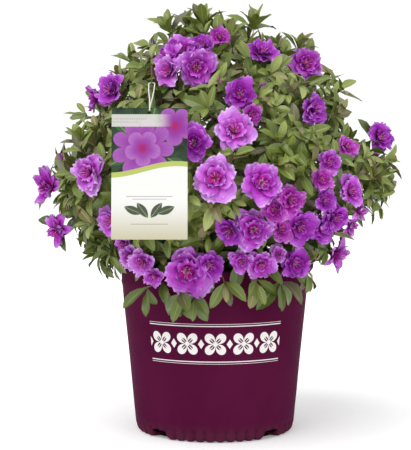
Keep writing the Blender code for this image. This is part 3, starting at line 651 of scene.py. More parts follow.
furrow = bark.cloud(330.0, 6.0, 0.65, (1.0, 1.0, 0.22))
tone = bark.blend(bark.between(furrow, 0.35, 0.68), *BARK_BROWNS)
patches = bark.between(bark.cloud(55.0, 3.0), 0.52, 0.68, 0.0, 0.45)
bark.set("Base Color", bark.blend(patches, tone, BARK_GREY))
bark.relief(furrow, 0.7, 0.0009)
finished(wood, bark)
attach(wood, "root")
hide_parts("stem", *(f"bough_{mass.name}" for mass in masses[1:]))

# ---------------------------------------------------------------- twigs
# Each mass's twigs branch from its limb by one rule, the front tips at chosen places and the rest
# spaced evenly, and are carried on to finer shoots. Old wood is reddish brown, this year's is olive.
TIP_DEPTH = 0.885
SKIRT = 0.172
RULE_TIPS = 190
INNER_EVERY = 6
INNER_DEPTH = 0.72
SKIRT_TIPS = 12
TIP_SPACING = 0.044
SKIRT_SPACING = 0.060
BACK_BLOOM_SHARE = 0.72
BACK_REACH = 1.06
LEAFY_TOP = 0.53  # no blooms by rule above this height
HIGH_SHOOTS = 0.575  # shoots are closer above this height
SEED = 31
EYE = Vector((-0.014, -2.0, 0.41))
LEAF_LENGTH = 0.048
TWIG_SIDES = 6
TWIG_RADIUS = 0.0010
TIP_TWIG_RADIUS = 0.0011
BLOOM_TWIG_RADIUS = 0.00125
OLD_BROWN = (0.150, 0.075, 0.045)
YOUNG_OLIVE = (0.210, 0.160, 0.080)
POT_CLEARANCE = 0.0015
LABEL_CLEARANCE = 0.003
BLOOM_CLEARING = 0.085  # kept open before a chosen bloom's face
BACK_CLEARING = 0.040  # and before any other's
BLOOM_GIRTH = 0.46  # radius kept open, in sizes of the bloom
SIGHT_GIRTH = 0.42  # and in EYE's line of sight
SIDE_SHOOTS = 5
# (x, z, size, turn, tilt): millimetres in the upright plane through the pot's axis, a bloom's
# width or a leaf's length, and degrees to the right and upwards. A bloom's tone comes last; the
# tones are lighter and darker copies of one violet, painted light and shade.
FRONT_BLOOMS = (
    (-51, 566, 58, -10, 30, 1), (-72, 535, 50, -35, 5, 0), (-27, 540, 60, 5, -5, 1),
    (8, 586, 36, 20, 30, 3), (-157, 507, 56, -48, 14, 2), (72, 565, 52, 20, 48, 2),
    (137, 546, 56, 14, 12, 1), (38, 501, 48, 5, 10, 2), (150, 478, 52, 48, 5, 2),
    (29, 448, 60, 0, 18, 0), (-32, 428, 50, -8, 0, 2), (248, 437, 50, 34, 14, 2),
    (198, 423, 34, 30, 20, 3), (172, 400, 36, 10, 0, 1), (-191, 384, 58, -28, 6, 0),
    (-262, 362, 54, -42, 8, 1), (-239, 297, 44, -34, -10, 1), (-158, 311, 48, -40, -5, 0),
    (0, 376, 64, -5, 8, 0), (71, 369, 60, 8, 8, 1), (114, 342, 48, 15, 0, 3),
    (128, 302, 54, 18, -12, 2), (205, 356, 46, 34, 10, 1), (166, 343, 34, 28, 5, 2),
    (182, 315, 48, 36, -14, 2), (220, 327, 30, 60, 0, 0), (58, 298, 60, 5, -4, 1),
    (20, 294, 46, -30, -25, 2), (-110, 248, 44, -22, -22, 0), (-92, 226, 30, -5, -28, 1),
    (-42, 235, 74, -6, -10, 1), (-7, 244, 44, 14, -14, 2), (40, 250, 36, -6, -12, 1),
    (70, 245, 44, 4, -16, 1), (95, 262, 26, 10, 5, 0), (122, 247, 46, 14, -6, 2),
    (186, 258, 48, 54, -16, 0), (-138, 276, 34, -40, -25, 0), (160, 301, 50, 26, -8, 2),
    (90, 328, 38, -14, 4, 3), (207, 304, 32, 50, -10, 0), (161, 374, 32, 10, 14, 3),
    (100, 300, 38, 30, 10, 3), (-70, 556, 46, -24, 40, 1), (-18, 575, 38, 12, 40, 2),
    (-182, 496, 38, -60, -4, 1), (-128, 258, 34, -10, -10, 0), (56, 470, 30, 20, -8, 3),
)
RAGGED_BLOOMS = ((-262, 362), (-239, 297), (186, 258), (207, 304), (220, 327), (-182, 496))
FRONT_SHOOTS = (
    (-18, 606, 40, -12, 80), (57, 600, 42, 18, 80), (-67, 596, 40, -35, 64), (-96, 566, 40, -50, 50),
    (-42, 604, 34, -20, 76), (24, 590, 32, 8, 80), (-98, 574, 34, -14, 76),
    (-122, 548, 38, -40, 60), (-140, 524, 36, -50, 55), (-54, 196, 44, -14, -84), (-33, 192, 42, 6, -82),
    (124, 570, 34, 25, 70), (184, 508, 44, 58, 40), (178, 470, 38, 66, 8), (-200, 432, 34, -60, 66),
    (-192, 470, 36, -68, 45), (-130, 470, 36, -40, 20), (-105, 535, 38, -45, 35),
    (254, 404, 40, 76, 14), (240, 378, 40, 66, 0), (240, 344, 44, 68, -24), (146, 398, 44, 22, 18),
    (112, 418, 42, 10, 6), (134, 440, 38, 26, 16), (60, 468, 38, -4, 14), (-176, 330, 42, -30, 0),
    (-3, 336, 44, -6, 4), (95, 430, 40, 18, 24), (82, 530, 40, 12, 20), (105, 500, 38, 20, 24),
    (-10, 480, 38, -6, 20), (28, 410, 38, 8, 20), (-40, 350, 38, -10, 0),
    (-172, 282, 36, -48, -40), (-156, 262, 38, -38, -58), (-107, 204, 48, -4, -84),
    (-56, 210, 44, -8, -78), (-30, 208, 44, 2, -76), (16, 214, 40, 16, -70), (66, 216, 40, 4, -74),
    (104, 214, 46, 14, -70), (146, 228, 36, 12, -84), (192, 296, 36, 50, -25),
)
FRONT_BUDS = (
    (-225, 402, 15, -50, 40), (-115, 555, 11, -30, 50), (45, 531, 12, 0, 30), (68, 510, 13, 10, 20),
    (77, 492, 11, 15, 10), (66, 471, 12, 5, 15), (92, 468, 10, 15, 30), (-90, 573, 10, -25, 60),
    (-153, 490, 11, -45, 30), (8, 515, 10, 0, 40), (120, 462, 11, 30, 30), (-20, 400, 10, -10, 20),
)
# (leaf whorls tried, share of the crown's reach, spacing) for each layer inwards
FILL_LAYERS = ((1900, 0.875, 0.029), (1300, 0.79, 0.032), (800, 0.67, 0.040), (500, 0.52, 0.048))
# the crown's outline from the front, as (z, left, right) in millimetres; shoots grown by rule keep in it
OUTLINE = (
    (220, -104, 132), (244, -126, 162), (268, -148, 196), (292, -208, 196), (316, -256, 222),
    (340, -262, 247), (364, -277, 265), (388, -274, 262), (412, -232, 271), (436, -214, 262),
    (460, -190, 178), (484, -196, 200), (508, -180, 198), (532, -160, 180), (556, -122, 150),
    (580, -86, 112), (600, -72, 90), (614, -44, 76),
)
LABEL_WIDTH = 0.099
LABEL_HEIGHT = 0.172
LABEL_THICK = 0.0008
LABEL_LEAN = math.radians(7)
LABEL_TOP = Vector((-0.0868, -0.250, 0.4712))
LABEL_DOWN = Vector((0.0, -math.sin(LABEL_LEAN), -math.cos(LABEL_LEAN)))
LABEL_OUT = Vector((0.0, -math.cos(LABEL_LEAN), math.sin(LABEL_LEAN)))
LABEL_HOLE_RADIUS = 0.0032
LABEL_HOLE_BELOW = 0.0050
TIE_TOP = Vector((-0.0868, -0.180, 0.506))
TIE_HIGH_TURN = 0.0040
TIE_RADIUS = 0.0008


def in_crown(point, share):
    out = point - CROWN_MIDDLE
    return out.length < share * crown_reach(out.normalized())


def on_crown(x, z):
    """The point on the crown's front that covers (x, z) of the upright plane, seen from EYE."""
    target = Vector((x / 1000, 0.0, z / 1000))
    for n in range(201):
        point = EYE.lerp(target, 0.80 + 0.20 * n / 200)
        if in_crown(point, TIP_DEPTH):
            return point
        if point.z < POT_HEIGHT + 0.03 and math.hypot(point.x, point.y) < SKIRT:
            return point
    return EYE.lerp(target, 1.0 + 0.019 * math.sin(0.11 * x))  # past the crown, at various depths


def in_outline(point, margin):
    """True where the point, seen from EYE, stands this far inside the crown's outline."""
    seen = EYE + (point - EYE) * (-EYE.y / (point.y - EYE.y))
    for lift in (-0.6 * margin, 0.9 * margin):
        x, z = seen.x * 1000, (seen.z + lift) * 1000
        if z > OUTLINE[-1][0]:
            return False
        rows = list(zip(OUTLINE, OUTLINE[1:]))
        low, high = next((pair for pair in rows if z <= pair[1][0]), rows[-1])
        share = max(0.0, (z - low[0]) / (high[0] - low[0]))
        left, right = (low[k] + (high[k] - low[k]) * share for k in (1, 2))
        if not left + margin * 1000 < x < right - margin * 1000:
            return False
    return True


def round_way(count):
    """Unit vectors spread evenly all round, by the golden angle."""
    golden = math.pi * (3 - math.sqrt(5))
    for n in range(count):
        height = 1 - 2 * (n + 0.5) / count
        ring = math.sqrt(1 - height * height)
        yield n, Vector((math.sin(n * golden) * ring, -math.cos(n * golden) * ring, height))


def shaken(dice, most):
    return Vector([dice.uniform(-most, most) for _ in range(3)])


def all_tips():
    """The tips that the masses end in, as (kind, point, axis, size)."""
    tips = []
    for kind, chosen, grown in (("bloom", FRONT_BLOOMS, 1.0), ("shoot", FRONT_SHOOTS, 1.12)):
        for x, z, size, turn, tilt, *_ in chosen:
            point = on_crown(x, z)
            if kind == "shoot" and tilt < -60:
                point -= Vector((point.x, point.y, 0)).normalized() * 0.009  # hangs behind the blooms
            tips.append((kind, point, towards(turn, tilt), size * grown / 1000))
    for n in range(SKIRT_TIPS):
        turn = 360 * n / SKIRT_TIPS
        point = towards(turn, 0) * SKIRT + AXIS_UP * (POT_HEIGHT + 0.012)
        if min((point - tip[1]).length for tip in tips) > SKIRT_SPACING:
            tips.append(("shoot", point, towards(turn, -40), LEAF_LENGTH))
    for n, out in round_way(RULE_TIPS):
        dice = random.Random(SEED * 1000 + n)
        out = (out + shaken(dice, 0.09)).normalized()
        depth = TIP_DEPTH * dice.uniform(0.93, 1.0) * (1.0 if n % INNER_EVERY else INNER_DEPTH)
        point = CROWN_MIDDLE + out * crown_reach(out) * depth
        point.y *= BACK_REACH if point.y > 0 else 1.0
        if point.z < POT_HEIGHT + 0.02 and math.hypot(point.x, point.y) < SKIRT:
            continue
        if min((point - tip[1]).length for tip in tips) < TIP_SPACING or not in_outline(point, 0.024):
            continue
        jitter = shaken(dice, 0.3)
        if point.y > -0.02 and point.z < LEAFY_TOP and dice.random() < BACK_BLOOM_SHARE:
            tips.append(("bloom", point, (out + jitter * 0.8).normalized(), dice.uniform(0.044, 0.062)))
        else:
            axis = (out + AXIS_UP * (0.35 if out.z > -0.3 else -0.5) + jitter).normalized()
            tips.append(("shoot", point, axis, LEAF_LENGTH * dice.uniform(0.85, 1.0)))
    return tips


def barred(point):
    """True inside the pot's clearance, in front of the label or just behind it."""
    radius = math.hypot(point.x, point.y)
    if point.z < POT_HEIGHT + 0.001 and radius < pot_radius(point.z) + RIM_OUT + POT_CLEARANCE:
        return True
    drop = point - LABEL_TOP
    beside = abs(drop.x) < LABEL_WIDTH / 2 + LABEL_CLEARANCE
    level = -0.004 < drop.dot(LABEL_DOWN) < LABEL_HEIGHT + 0.004
    return beside and level and drop.dot(LABEL_OUT) > -LABEL_CLEARANCE


class Growth:
    """All that grows: twigs, leaf whorls, blooms and buds, with the space that blooms keep open."""

    def __init__(self):
        self.old, self.young, self.whorls, self.blooms, self.buds = [], [], [], [], []
        self.taken = np.zeros((0, 3))

    def crowded(self, point, spacing):
        if not len(self.taken):
            return False
        return float(np.min(np.sum((self.taken - np.array(point)) ** 2, axis=1))) < spacing**2

    def take(self, point):
        self.taken = np.vstack([self.taken, np.array(point)[None]])

    def hides_bloom(self, point, ease=1.0, shell=0.0):
        """True where the point stands in a bloom or in front of its face or of a chosen one's."""
        for n, middle, axis, size, _ in self.blooms:
            chosen = n < len(FRONT_BLOOMS)
            away = point - middle
            along = away.dot(axis)
            aside = (away - axis * along).length
            reach = BLOOM_CLEARING if chosen else BACK_CLEARING
            if -0.14 * size < along < reach and aside < size * BLOOM_GIRTH * ease:
                return True
            if abs(along) < 0.12 * size and aside < size * shell:
                return True
            if chosen and -0.16 < away.y < -0.006:
                near = EYE + (point - EYE) * ((middle.y - EYE.y) / (point.y - EYE.y)) - middle
                if near.length < size * SIGHT_GIRTH * ease:
                    return True
        return False

    def twig(self, mass, neck, axis, radius, dice, young):
        """A bent twig from the mass's best fork to neck. Its own bend becomes a fork."""
        forks = sorted(mass.forks, key=lambda f: (f - neck).length + 0.25 * (f - mass.heart).length)
        fork = next((f for f in forks[:6] if (f - neck).length > 0.012), forks[0])
        span = (neck - fork).length
        bend = neck - axis * min(0.45 * span, 0.03)
        bend = mass.drawn_in(bend.lerp(fork.lerp(neck, 0.6), 0.25), 0.003)
        points, radii = [], []
        steps = max(4, min(9, int(span / 0.011)))
        kink = shaken(dice, 0.0022)
        for n in range(steps + 1):
            t = n / steps
            u = 1 - t
            point = u * u * fork + 2 * u * t * (bend * 1.5 - (fork + neck) * 0.25) + t * t * neck
            points.append(point + kink * math.sin(t * 5.5) * 4 * t * u)
            radii.append(radius * (1 - 0.42 * t) * (1 + 0.10 * math.sin(n * 2.4)))
        if any(barred(p) for p in points):
            return False
        (self.young if young else self.old).append((points, radii))
        mass.forks += [points[steps // 2 + 1], points[-2]]
        return True

    def add_whorl(self, mass, point, axis, length, spacing, dice, young, radius=TWIG_RADIUS, light=0.0):
        """A whorl of leaves at the end of its own twig, if there is room for it."""
        if self.crowded(point, spacing) or barred(point) or self.hides_bloom(point):
            return
        if self.twig(mass, point, axis, radius, dice, young):
            self.whorls.append((point, axis, length, dice.random() + light, dice.randrange(1 << 30)))
            self.take(point)


def holder(point):
    return max(masses, key=lambda m: m.room(point))


growth = Growth()
tips = all_tips()
for n, (kind, point, axis, size) in enumerate(tips):
    if kind == "bloom":
        dice = random.Random(SEED * 7 + n)
        neck = point - axis * size * 0.30
        if growth.twig(holder(point), neck, axis, BLOOM_TWIG_RADIUS, dice, dice.random() < 0.3):
            # each bloom takes one of the violet's lit and shaded copies: painted light and shade
            tone = dice.randrange(4)
            if n < len(FRONT_BLOOMS):
                tone = FRONT_BLOOMS[n][-1]
                size *= 1.2 if FRONT_BLOOMS[n][:2] in RAGGED_BLOOMS else 1.0
            growth.blooms.append((n, point, axis, size * 1.12, tone))
            growth.take(point)
for x, z, size, turn, tilt in FRONT_BUDS:
    point, axis = on_crown(x, z), towards(turn, tilt)
    if not growth.hides_bloom(point, 0.8):
        growth.buds.append((point, axis, size / 1000, len(growth.buds) % 3))
for n, (kind, point, axis, size) in enumerate(tips):
    dice = random.Random(SEED * 11 + n)
    side, rise = square_to(axis)
    start = dice.uniform(0, 2 * math.pi)
    if kind == "shoot":
        mass = holder(point)
        # the chosen front shoots get lighter leaves: painted light on the crown's front
        light = 0.45 if n < len(FRONT_BLOOMS) + len(FRONT_SHOOTS) else 0.0
        young = dice.random() < 0.5
        growth.add_whorl(mass, point, axis, size, 0.012, dice, young, TIP_TWIG_RADIUS, light)
        for k in range(SIDE_SHOOTS if point.z > POT_HEIGHT or point.y > 0 else 1):
            a = start + 2 * math.pi * k / SIDE_SHOOTS + dice.uniform(-0.3, 0.3)
            out = side * math.cos(a) + rise * math.sin(a)
            spot = point + out * dice.uniform(0.024, 0.034) - axis * dice.uniform(0.004, 0.022)
            if point.z > HIGH_SHOOTS:
                spot = point + out * dice.uniform(0.010, 0.020) - axis * dice.uniform(0.014, 0.036)
            if (in_crown(spot, 0.95) and in_outline(spot, 0.012)) or point.z < POT_HEIGHT + 0.02:
                lean = (axis + out * 0.55 + shaken(dice, 0.25)).normalized()
                gap = 0.011 if point.z > HIGH_SHOOTS else 0.017
                length = size * dice.uniform(0.72, 0.95)
                growth.add_whorl(mass, spot, lean, length, gap, dice, True, light=light)
    elif size > 0.034:  # a whorl round the bloom's neck
        neck = point - axis * size * 0.34
        length = LEAF_LENGTH * dice.uniform(0.9, 1.05)
        growth.whorls.append((neck, axis, length, dice.random(), dice.randrange(1 << 30)))
for layer, (count, depth, spacing) in enumerate(FILL_LAYERS):
    for n, out in round_way(count):
        dice = random.Random(SEED * 131 + layer * 7001 + n)
        out = (out + shaken(dice, 0.06)).normalized()
        point = CROWN_MIDDLE + out * crown_reach(out) * depth * dice.uniform(0.94, 1.02)
        radius = math.hypot(point.x, point.y)
        if point.z < POT_HEIGHT + (0.010 if radius < 0.2 else 0.0) or not in_outline(point, 0.022):
            continue
        if layer < 2 and noise.noise(point * 17 + Vector((3.1, 7.7, 1.3))) > 0.24:
            continue  # an open pocket between the shoots
        axis = (out + AXIS_UP * (0.45 if out.z > -0.3 else -0.2) + shaken(dice, 0.4)).normalized()
        length = LEAF_LENGTH * dice.uniform(0.78, 1.05)
        growth.add_whorl(holder(point), point, axis, length, spacing, dice, dice.random() < 0.75)

# the twig that carries the label's tie, through the loop's high turn
low_turn = LABEL_TOP + LABEL_DOWN * (LABEL_HOLE_BELOW - LABEL_HOLE_RADIUS) / 2
sideways = Vector((1.0, 0.0, 0.0))
tie_up = (TIE_TOP - low_turn).normalized()
tie_out = sideways.cross(tie_up) * -1
through = TIE_TOP + tie_up * (TIE_HIGH_TURN - TIE_RADIUS - TWIG_RADIUS - CLEAR)
beyond = through + tie_out * 0.016
path = [holder(beyond).heart, through - tie_out * 0.026, through, beyond]
growth.old.append((path, [0.0016, 0.0013, TWIG_RADIUS, TWIG_RADIUS]))
growth.whorls.append((beyond, tie_out, 0.030, 0.4, 12))

old_wood = Shading("old_twig", OLD_BROWN, 0.7, 0.35)
young_wood = Shading("young_twig", YOUNG_OLIVE, 0.6, 0.4)
for name, lines, tone in (("old_twigs", growth.old, old_wood), ("young_twigs", growth.young, young_wood)):
    piece = tubes(name, lines, TWIG_SIDES)
    finished(piece, tone)
    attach(piece, "root")
    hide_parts(*(f"mass_{mass.name}" for mass in masses))

# ---------------------------------------------------------------- leaves
# Lance-shaped leathery leaves, folded a little on the midrib and curled back at the point. They
# stand in whorls at the shoots' ends, darker and wider open outside, small and light in the middle.
# Whorls that face up, and those of the chosen front shoots, take lighter greens: painted light from above and
# in front.
LEAF_ROWS = (0.0, 0.08, 0.26, 0.48, 0.70, 0.88, 1.0)
LEAF_HALVES = (0.020, 0.048, 0.142, 0.186, 0.168, 0.102, 0.008)
LEAF_COLUMNS = (-1.0, -0.5, -0.07, 0.07, 0.5, 1.0)  # the middle pair bounds the midrib
LEAF_FORMS = (  # fold, curl and twist
    (0.55, 0.14, 0.0), (0.35, 0.24, 0.25), (0.75, 0.08, -0.2), (0.45, 0.34, -0.1), (0.28, 0.02, 0.15),
)
# greens from dark to pale, then bronze, dusky and straw; how pale a whorl's leaves are is partly painted
# light
LEAF_TONES = (
    (0.048, 0.077, 0.014), (0.070, 0.106, 0.018), (0.094, 0.137, 0.021), (0.125, 0.173, 0.027),
    (0.170, 0.218, 0.036), (0.235, 0.285, 0.060), (0.340, 0.390, 0.130),
    (0.160, 0.137, 0.052), (0.112, 0.108, 0.050), (0.245, 0.225, 0.075),
)
PALEST, BRONZE, DUSKY, STRAW = 6, 7, 8, 9
RIB_TONES = np.array((2, 3, 4, 5, 6, 6, 6, STRAW, STRAW, 6))  # the midrib of a leaf of each tone
ODD_LEAVES = ((0.045, BRONZE), (0.100, DUSKY), (0.165, STRAW))  # running shares of all leaves
GOLDEN_TURN = 2.39996
STEEP = 0.85  # a shoot this upright, or hanging
OPEN_ANGLE, STEEP_ANGLE, CLOSING_ANGLE = 86, 60, 52  # of the lowest leaves, and by how much the last close
LEAF_ROOM = (0.9, 0.55)  # how near leaves come to a bloom's face and to its rim
BOX_MARGIN = 0.0018
LEAVES_PER_PIECE = 3200


def leaf_pattern(fold, curl, twist):
    """Corners of one leaf a unit long: along +Y, its upper side to +Z."""
    rows, columns = len(LEAF_ROWS) - 1, len(LEAF_COLUMNS) - 1
    nothing_selected()
    bpy.ops.mesh.primitive_grid_add(x_subdivisions=columns, y_subdivisions=rows, size=2)
    blade = bpy.context.object
    shape = []
    for v in blade.data.vertices:
        row = round((v.co.y + 1) / 2 * rows)
        along, half = LEAF_ROWS[row], LEAF_HALVES[row]
        u = LEAF_COLUMNS[round((v.co.x + 1) / 2 * columns)]
        high = fold * half * abs(u) ** 1.2 - curl * along**2.2 + 0.05 * along
        wave = 0.018 * math.sin(along * 9 + u * 2) * abs(u)
        shape.append((u * half, along * (1 - curl * 0.35 * along), high + wave + twist * u * half * along))
    faces = [list(p.vertices) for p in blade.data.polygons]
    ribs = np.array([abs(p.center.x) < 0.1 and p.center.y < 0.6 for p in blade.data.polygons])
    bpy.data.objects.remove(blade, do_unlink=True)
    return np.array(shape), np.array(faces), ribs


leaf_patterns = [leaf_pattern(*form) for form in LEAF_FORMS]
leaves = []
for point, axis, length, spread, seed in growth.whorls:
    dice = random.Random(seed)
    side, rise = square_to(axis)
    phase = dice.uniform(0, 2 * math.pi)
    number = 7 + dice.randrange(3) if axis.z > -STEEP else 4 + dice.randrange(2)
    # lighter tones for a whorl that faces up, painted light from above; spread is random tone plus the front
    # shoots' painted light
    light = max(0.0, min(1.0, 0.55 + 0.35 * axis.z + 0.5 * (spread - 0.5)))
    base = 1 + light * 3.4 + (1.4 if dice.random() < 0.10 else 0.0)
    outward = Vector((point.x, point.y, 0.0)).normalized()
    for k in range(number):
        share = k / (number - 1)
        turn = phase + GOLDEN_TURN * k
        out = side * math.cos(turn) + rise * math.sin(turn)
        open_out = OPEN_ANGLE if abs(axis.z) < STEEP else STEEP_ANGLE
        lean = math.radians(open_out - CLOSING_ANGLE * share + dice.uniform(-9, 9))
        along = axis * math.cos(lean) + out * math.sin(lean)
        along = (along - AXIS_UP * 0.06 + shaken(dice, 0.08)).normalized()
        upper = axis * math.sin(lean) - out * math.cos(lean) + shaken(dice, 0.34)
        upper *= 0.25 if axis.z < -0.2 else 1.0
        upper += (AXIS_UP * 0.8 + outward * 0.6) * (0.3 if axis.z > 0 else 0.8)
        upper = (upper - along * upper.dot(along)).normalized()
        reach = length * (1.0 - 0.36 * share**1.8) * dice.uniform(0.86, 1.06)
        root = point + axis * (0.007 * share - 0.006) + out * 0.0012
        tone = base - 0.8 + 1.7 * share + dice.uniform(-0.7, 0.7)
        tone = max(0, min(PALEST, int(round(tone))))
        odd = dice.random()
        tone = next((other for limit, other in ODD_LEAVES if odd < limit), tone)
        leaves.append((root, along, upper, reach, tone, dice.randrange(len(leaf_patterns))))


def clear_way(root, along, reach, share):
    """True where this share of a leaf stays in the box and off the pot, the label and the blooms."""
    tip, belly = (root + along * reach * share * far for far in (0.97, 0.5))
    for low, at, high in zip(cad_box[0], tip, cad_box[1]):
        if not low + BOX_MARGIN < at < high - BOX_MARGIN:
            return False
    return not any(barred(p) or growth.hides_bloom(p, *LEAF_ROOM) for p in (tip, belly))


kept = []
for root, along, upper, reach, tone, pattern in leaves:
    for share in (1.0, 0.8, 0.62):  # a shorter leaf where there is no room for the whole one
        if clear_way(root, along, reach, share):
            kept.append((root, along, upper, reach * share, tone, pattern))
            break
kept.sort(key=lambda leaf: leaf[0].z)
leaf_finishes = []
for n, tone in enumerate(LEAF_TONES):
    finish = Shading(f"leaf_{n + 1}", tone, 0.40, 0.5)
    finish.set("Coat Weight", 0.20)
    finish.set("Coat Roughness", 0.30)
    leaf_finishes.append(finish.made)
for part in range(0, len(kept), LEAVES_PER_PIECE):
    corners, faces, kinds = [], [], []
    offset = 0
    for p, (shape, quads, ribs) in enumerate(leaf_patterns):
        own = [leaf for leaf in kept[part : part + LEAVES_PER_PIECE] if leaf[5] == p]
        roots, alongs, uppers, sizes, tones, _ = zip(*own)
        frames = [[along.cross(upper), along, upper] for along, upper in zip(alongs, uppers)]
        placed, quads = laid_out(shape, quads, roots, frames, sizes, offset)
        corners.append(placed)
        faces.append(quads)
        tones = np.array(tones)
        kinds.append(np.where(ribs[None], RIB_TONES[tones][:, None], tones[:, None]).ravel())
        offset += len(placed)
    name = f"leaves_{part // LEAVES_PER_PIECE + 1}"
    piece = joined(name, np.vstack(corners), np.vstack(faces), leaf_finishes, np.hstack(kinds))
    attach(piece, "root")
    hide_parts(*(f"mass_{mass.name}" for mass in masses))

# ---------------------------------------------------------------- blooms
# Semi-double azalea blooms: a short tube, an open skirt of broad ruffled petals, a second cup inside
# it and small upright petals round a few pale stamens. Violet, with a crimson-magenta throat.
PETAL_ROWS = (0.0, 0.14, 0.30, 0.46, 0.62, 0.78, 0.90, 1.0)
PETAL_WIDTHS = (0.26, 0.52, 0.80, 0.96, 1.0, 0.94, 0.82, 0.60)
BLOOM_KINDS = 6  # and two ragged ones with narrow petals
RAGGED_KINDS = 2
RAGGED_SLIMNESS = 0.45
# petals, columns, length, width, lift at the claw and at the rim, start radius, start height, ruffle
WHORLS = (
    (5, 10, 0.490, 0.450, 56, -10, 0.058, -0.215, 0.085),
    (5, 10, 0.425, 0.390, 62, 12, 0.046, -0.195, 0.120),
    (5, 6, 0.320, 0.250, 74, 38, 0.034, -0.175, 0.160),
    (4, 4, 0.260, 0.150, 80, 52, 0.018, -0.160, 0.180),
)
# throat, fold, middle, face and rim of a petal, for each tone of bloom; the tones are lighter and
# darker copies of one violet, painted light and shade
BLOOM_TONES = (
    ((0.560, 0.012, 0.260), (0.500, 0.026, 0.480), (0.560, 0.120, 0.650), (0.625, 0.265, 0.750),
     (0.745, 0.455, 0.855)),
    ((0.530, 0.006, 0.220), (0.435, 0.009, 0.425), (0.490, 0.058, 0.565), (0.555, 0.178, 0.690),
     (0.660, 0.335, 0.790)),
    ((0.430, 0.004, 0.230), (0.320, 0.003, 0.345), (0.365, 0.021, 0.465), (0.450, 0.083, 0.580),
     (0.550, 0.205, 0.690)),
    ((0.490, 0.004, 0.190), (0.380, 0.004, 0.320), (0.435, 0.027, 0.435), (0.510, 0.100, 0.535),
     (0.605, 0.232, 0.660)),
)
PETAL_SHADES = 9  # blended from those five
# the shade of each row of faces, from claw to rim, for each whorl
ROW_SHADES = ((1, 2, 3, 4, 5, 6, 8), (1, 2, 3, 3, 4, 5, 7), (0, 1, 1, 2, 3, 4, 6), (0, 0, 0, 1, 1, 2, 3))
BLOOMS_PER_PIECE = 80
CALYX_GREEN = (0.120, 0.170, 0.050)
STAMEN_PINK = (0.720, 0.420, 0.560)
CALYX, STAMEN = PETAL_SHADES, PETAL_SHADES + 1  # kinds of face past the petals' shades
TUBE_SIDES = 10
TUBE = ((-0.31, 0.022), (-0.27, 0.034), (-0.23, 0.052), (-0.19, 0.070))  # height, radius
STAMENS = 6


def hump(u, width):
    return math.exp(-((u / width) ** 2))


def petal(columns, turn, length, width, lift, rim_lift, start, base, ruffle, slim, dice):
    """Corners of one petal, rows from claw to rim."""
    out = Vector((math.cos(turn), math.sin(turn), 0))
    side = Vector((-out.y, out.x, 0))
    radius, height, before = start, base, 0.0
    phase, beat = dice.uniform(0, 6.28), dice.uniform(1.7, 2.6)
    lean, tilt = dice.uniform(-0.16, 0.16), dice.uniform(-7, 7)
    cup = dice.uniform(0.08, 0.24)
    roll, notch, skew = dice.uniform(-0.16, 0.24), dice.uniform(0.02, 0.12), dice.uniform(-0.12, 0.12)
    corners = []
    for along, share in zip(PETAL_ROWS, PETAL_WIDTHS):
        bend = along * along * (3 - 2 * along)
        angle = math.radians(lift + (rim_lift + tilt - lift) * (0.25 * along + 0.75 * bend))
        step = (along - before) * length
        before = along
        radius += step * math.cos(angle)
        height += step * math.sin(angle)
        away = out * math.cos(angle) + AXIS_UP * math.sin(angle)
        face = AXIS_UP * math.cos(angle) - out * math.sin(angle)
        share *= 1 - slim * along * along
        for column in range(columns + 1):
            u = 2 * column / columns - 1
            shorter = length * along**3 * (0.13 * u * u + notch * hump(u, 0.28) + skew * u)
            shorter += length * along**4 * 0.032 * math.sin(phase * 3 + 9.0 * u)
            wave = ruffle * math.sin(phase + beat * math.pi * u) * along**1.6 * (0.35 + 0.65 * abs(u))
            wave += 0.50 * ruffle * math.sin(2.3 * phase + 7.2 * u + 5.0 * along) * along
            crease = -0.05 * hump(u, 0.22) * (1 - along * 0.6)
            high = (cup * u * u * (1 - 0.5 * along) + crease) * width * share + wave * width
            high += roll * abs(u) ** 3 * along * width
            place = out * radius + AXIS_UP * height - away * shorter + face * high
            corners.append(place + side * (u * share * width / 2 + lean * width * along * along))
    return corners


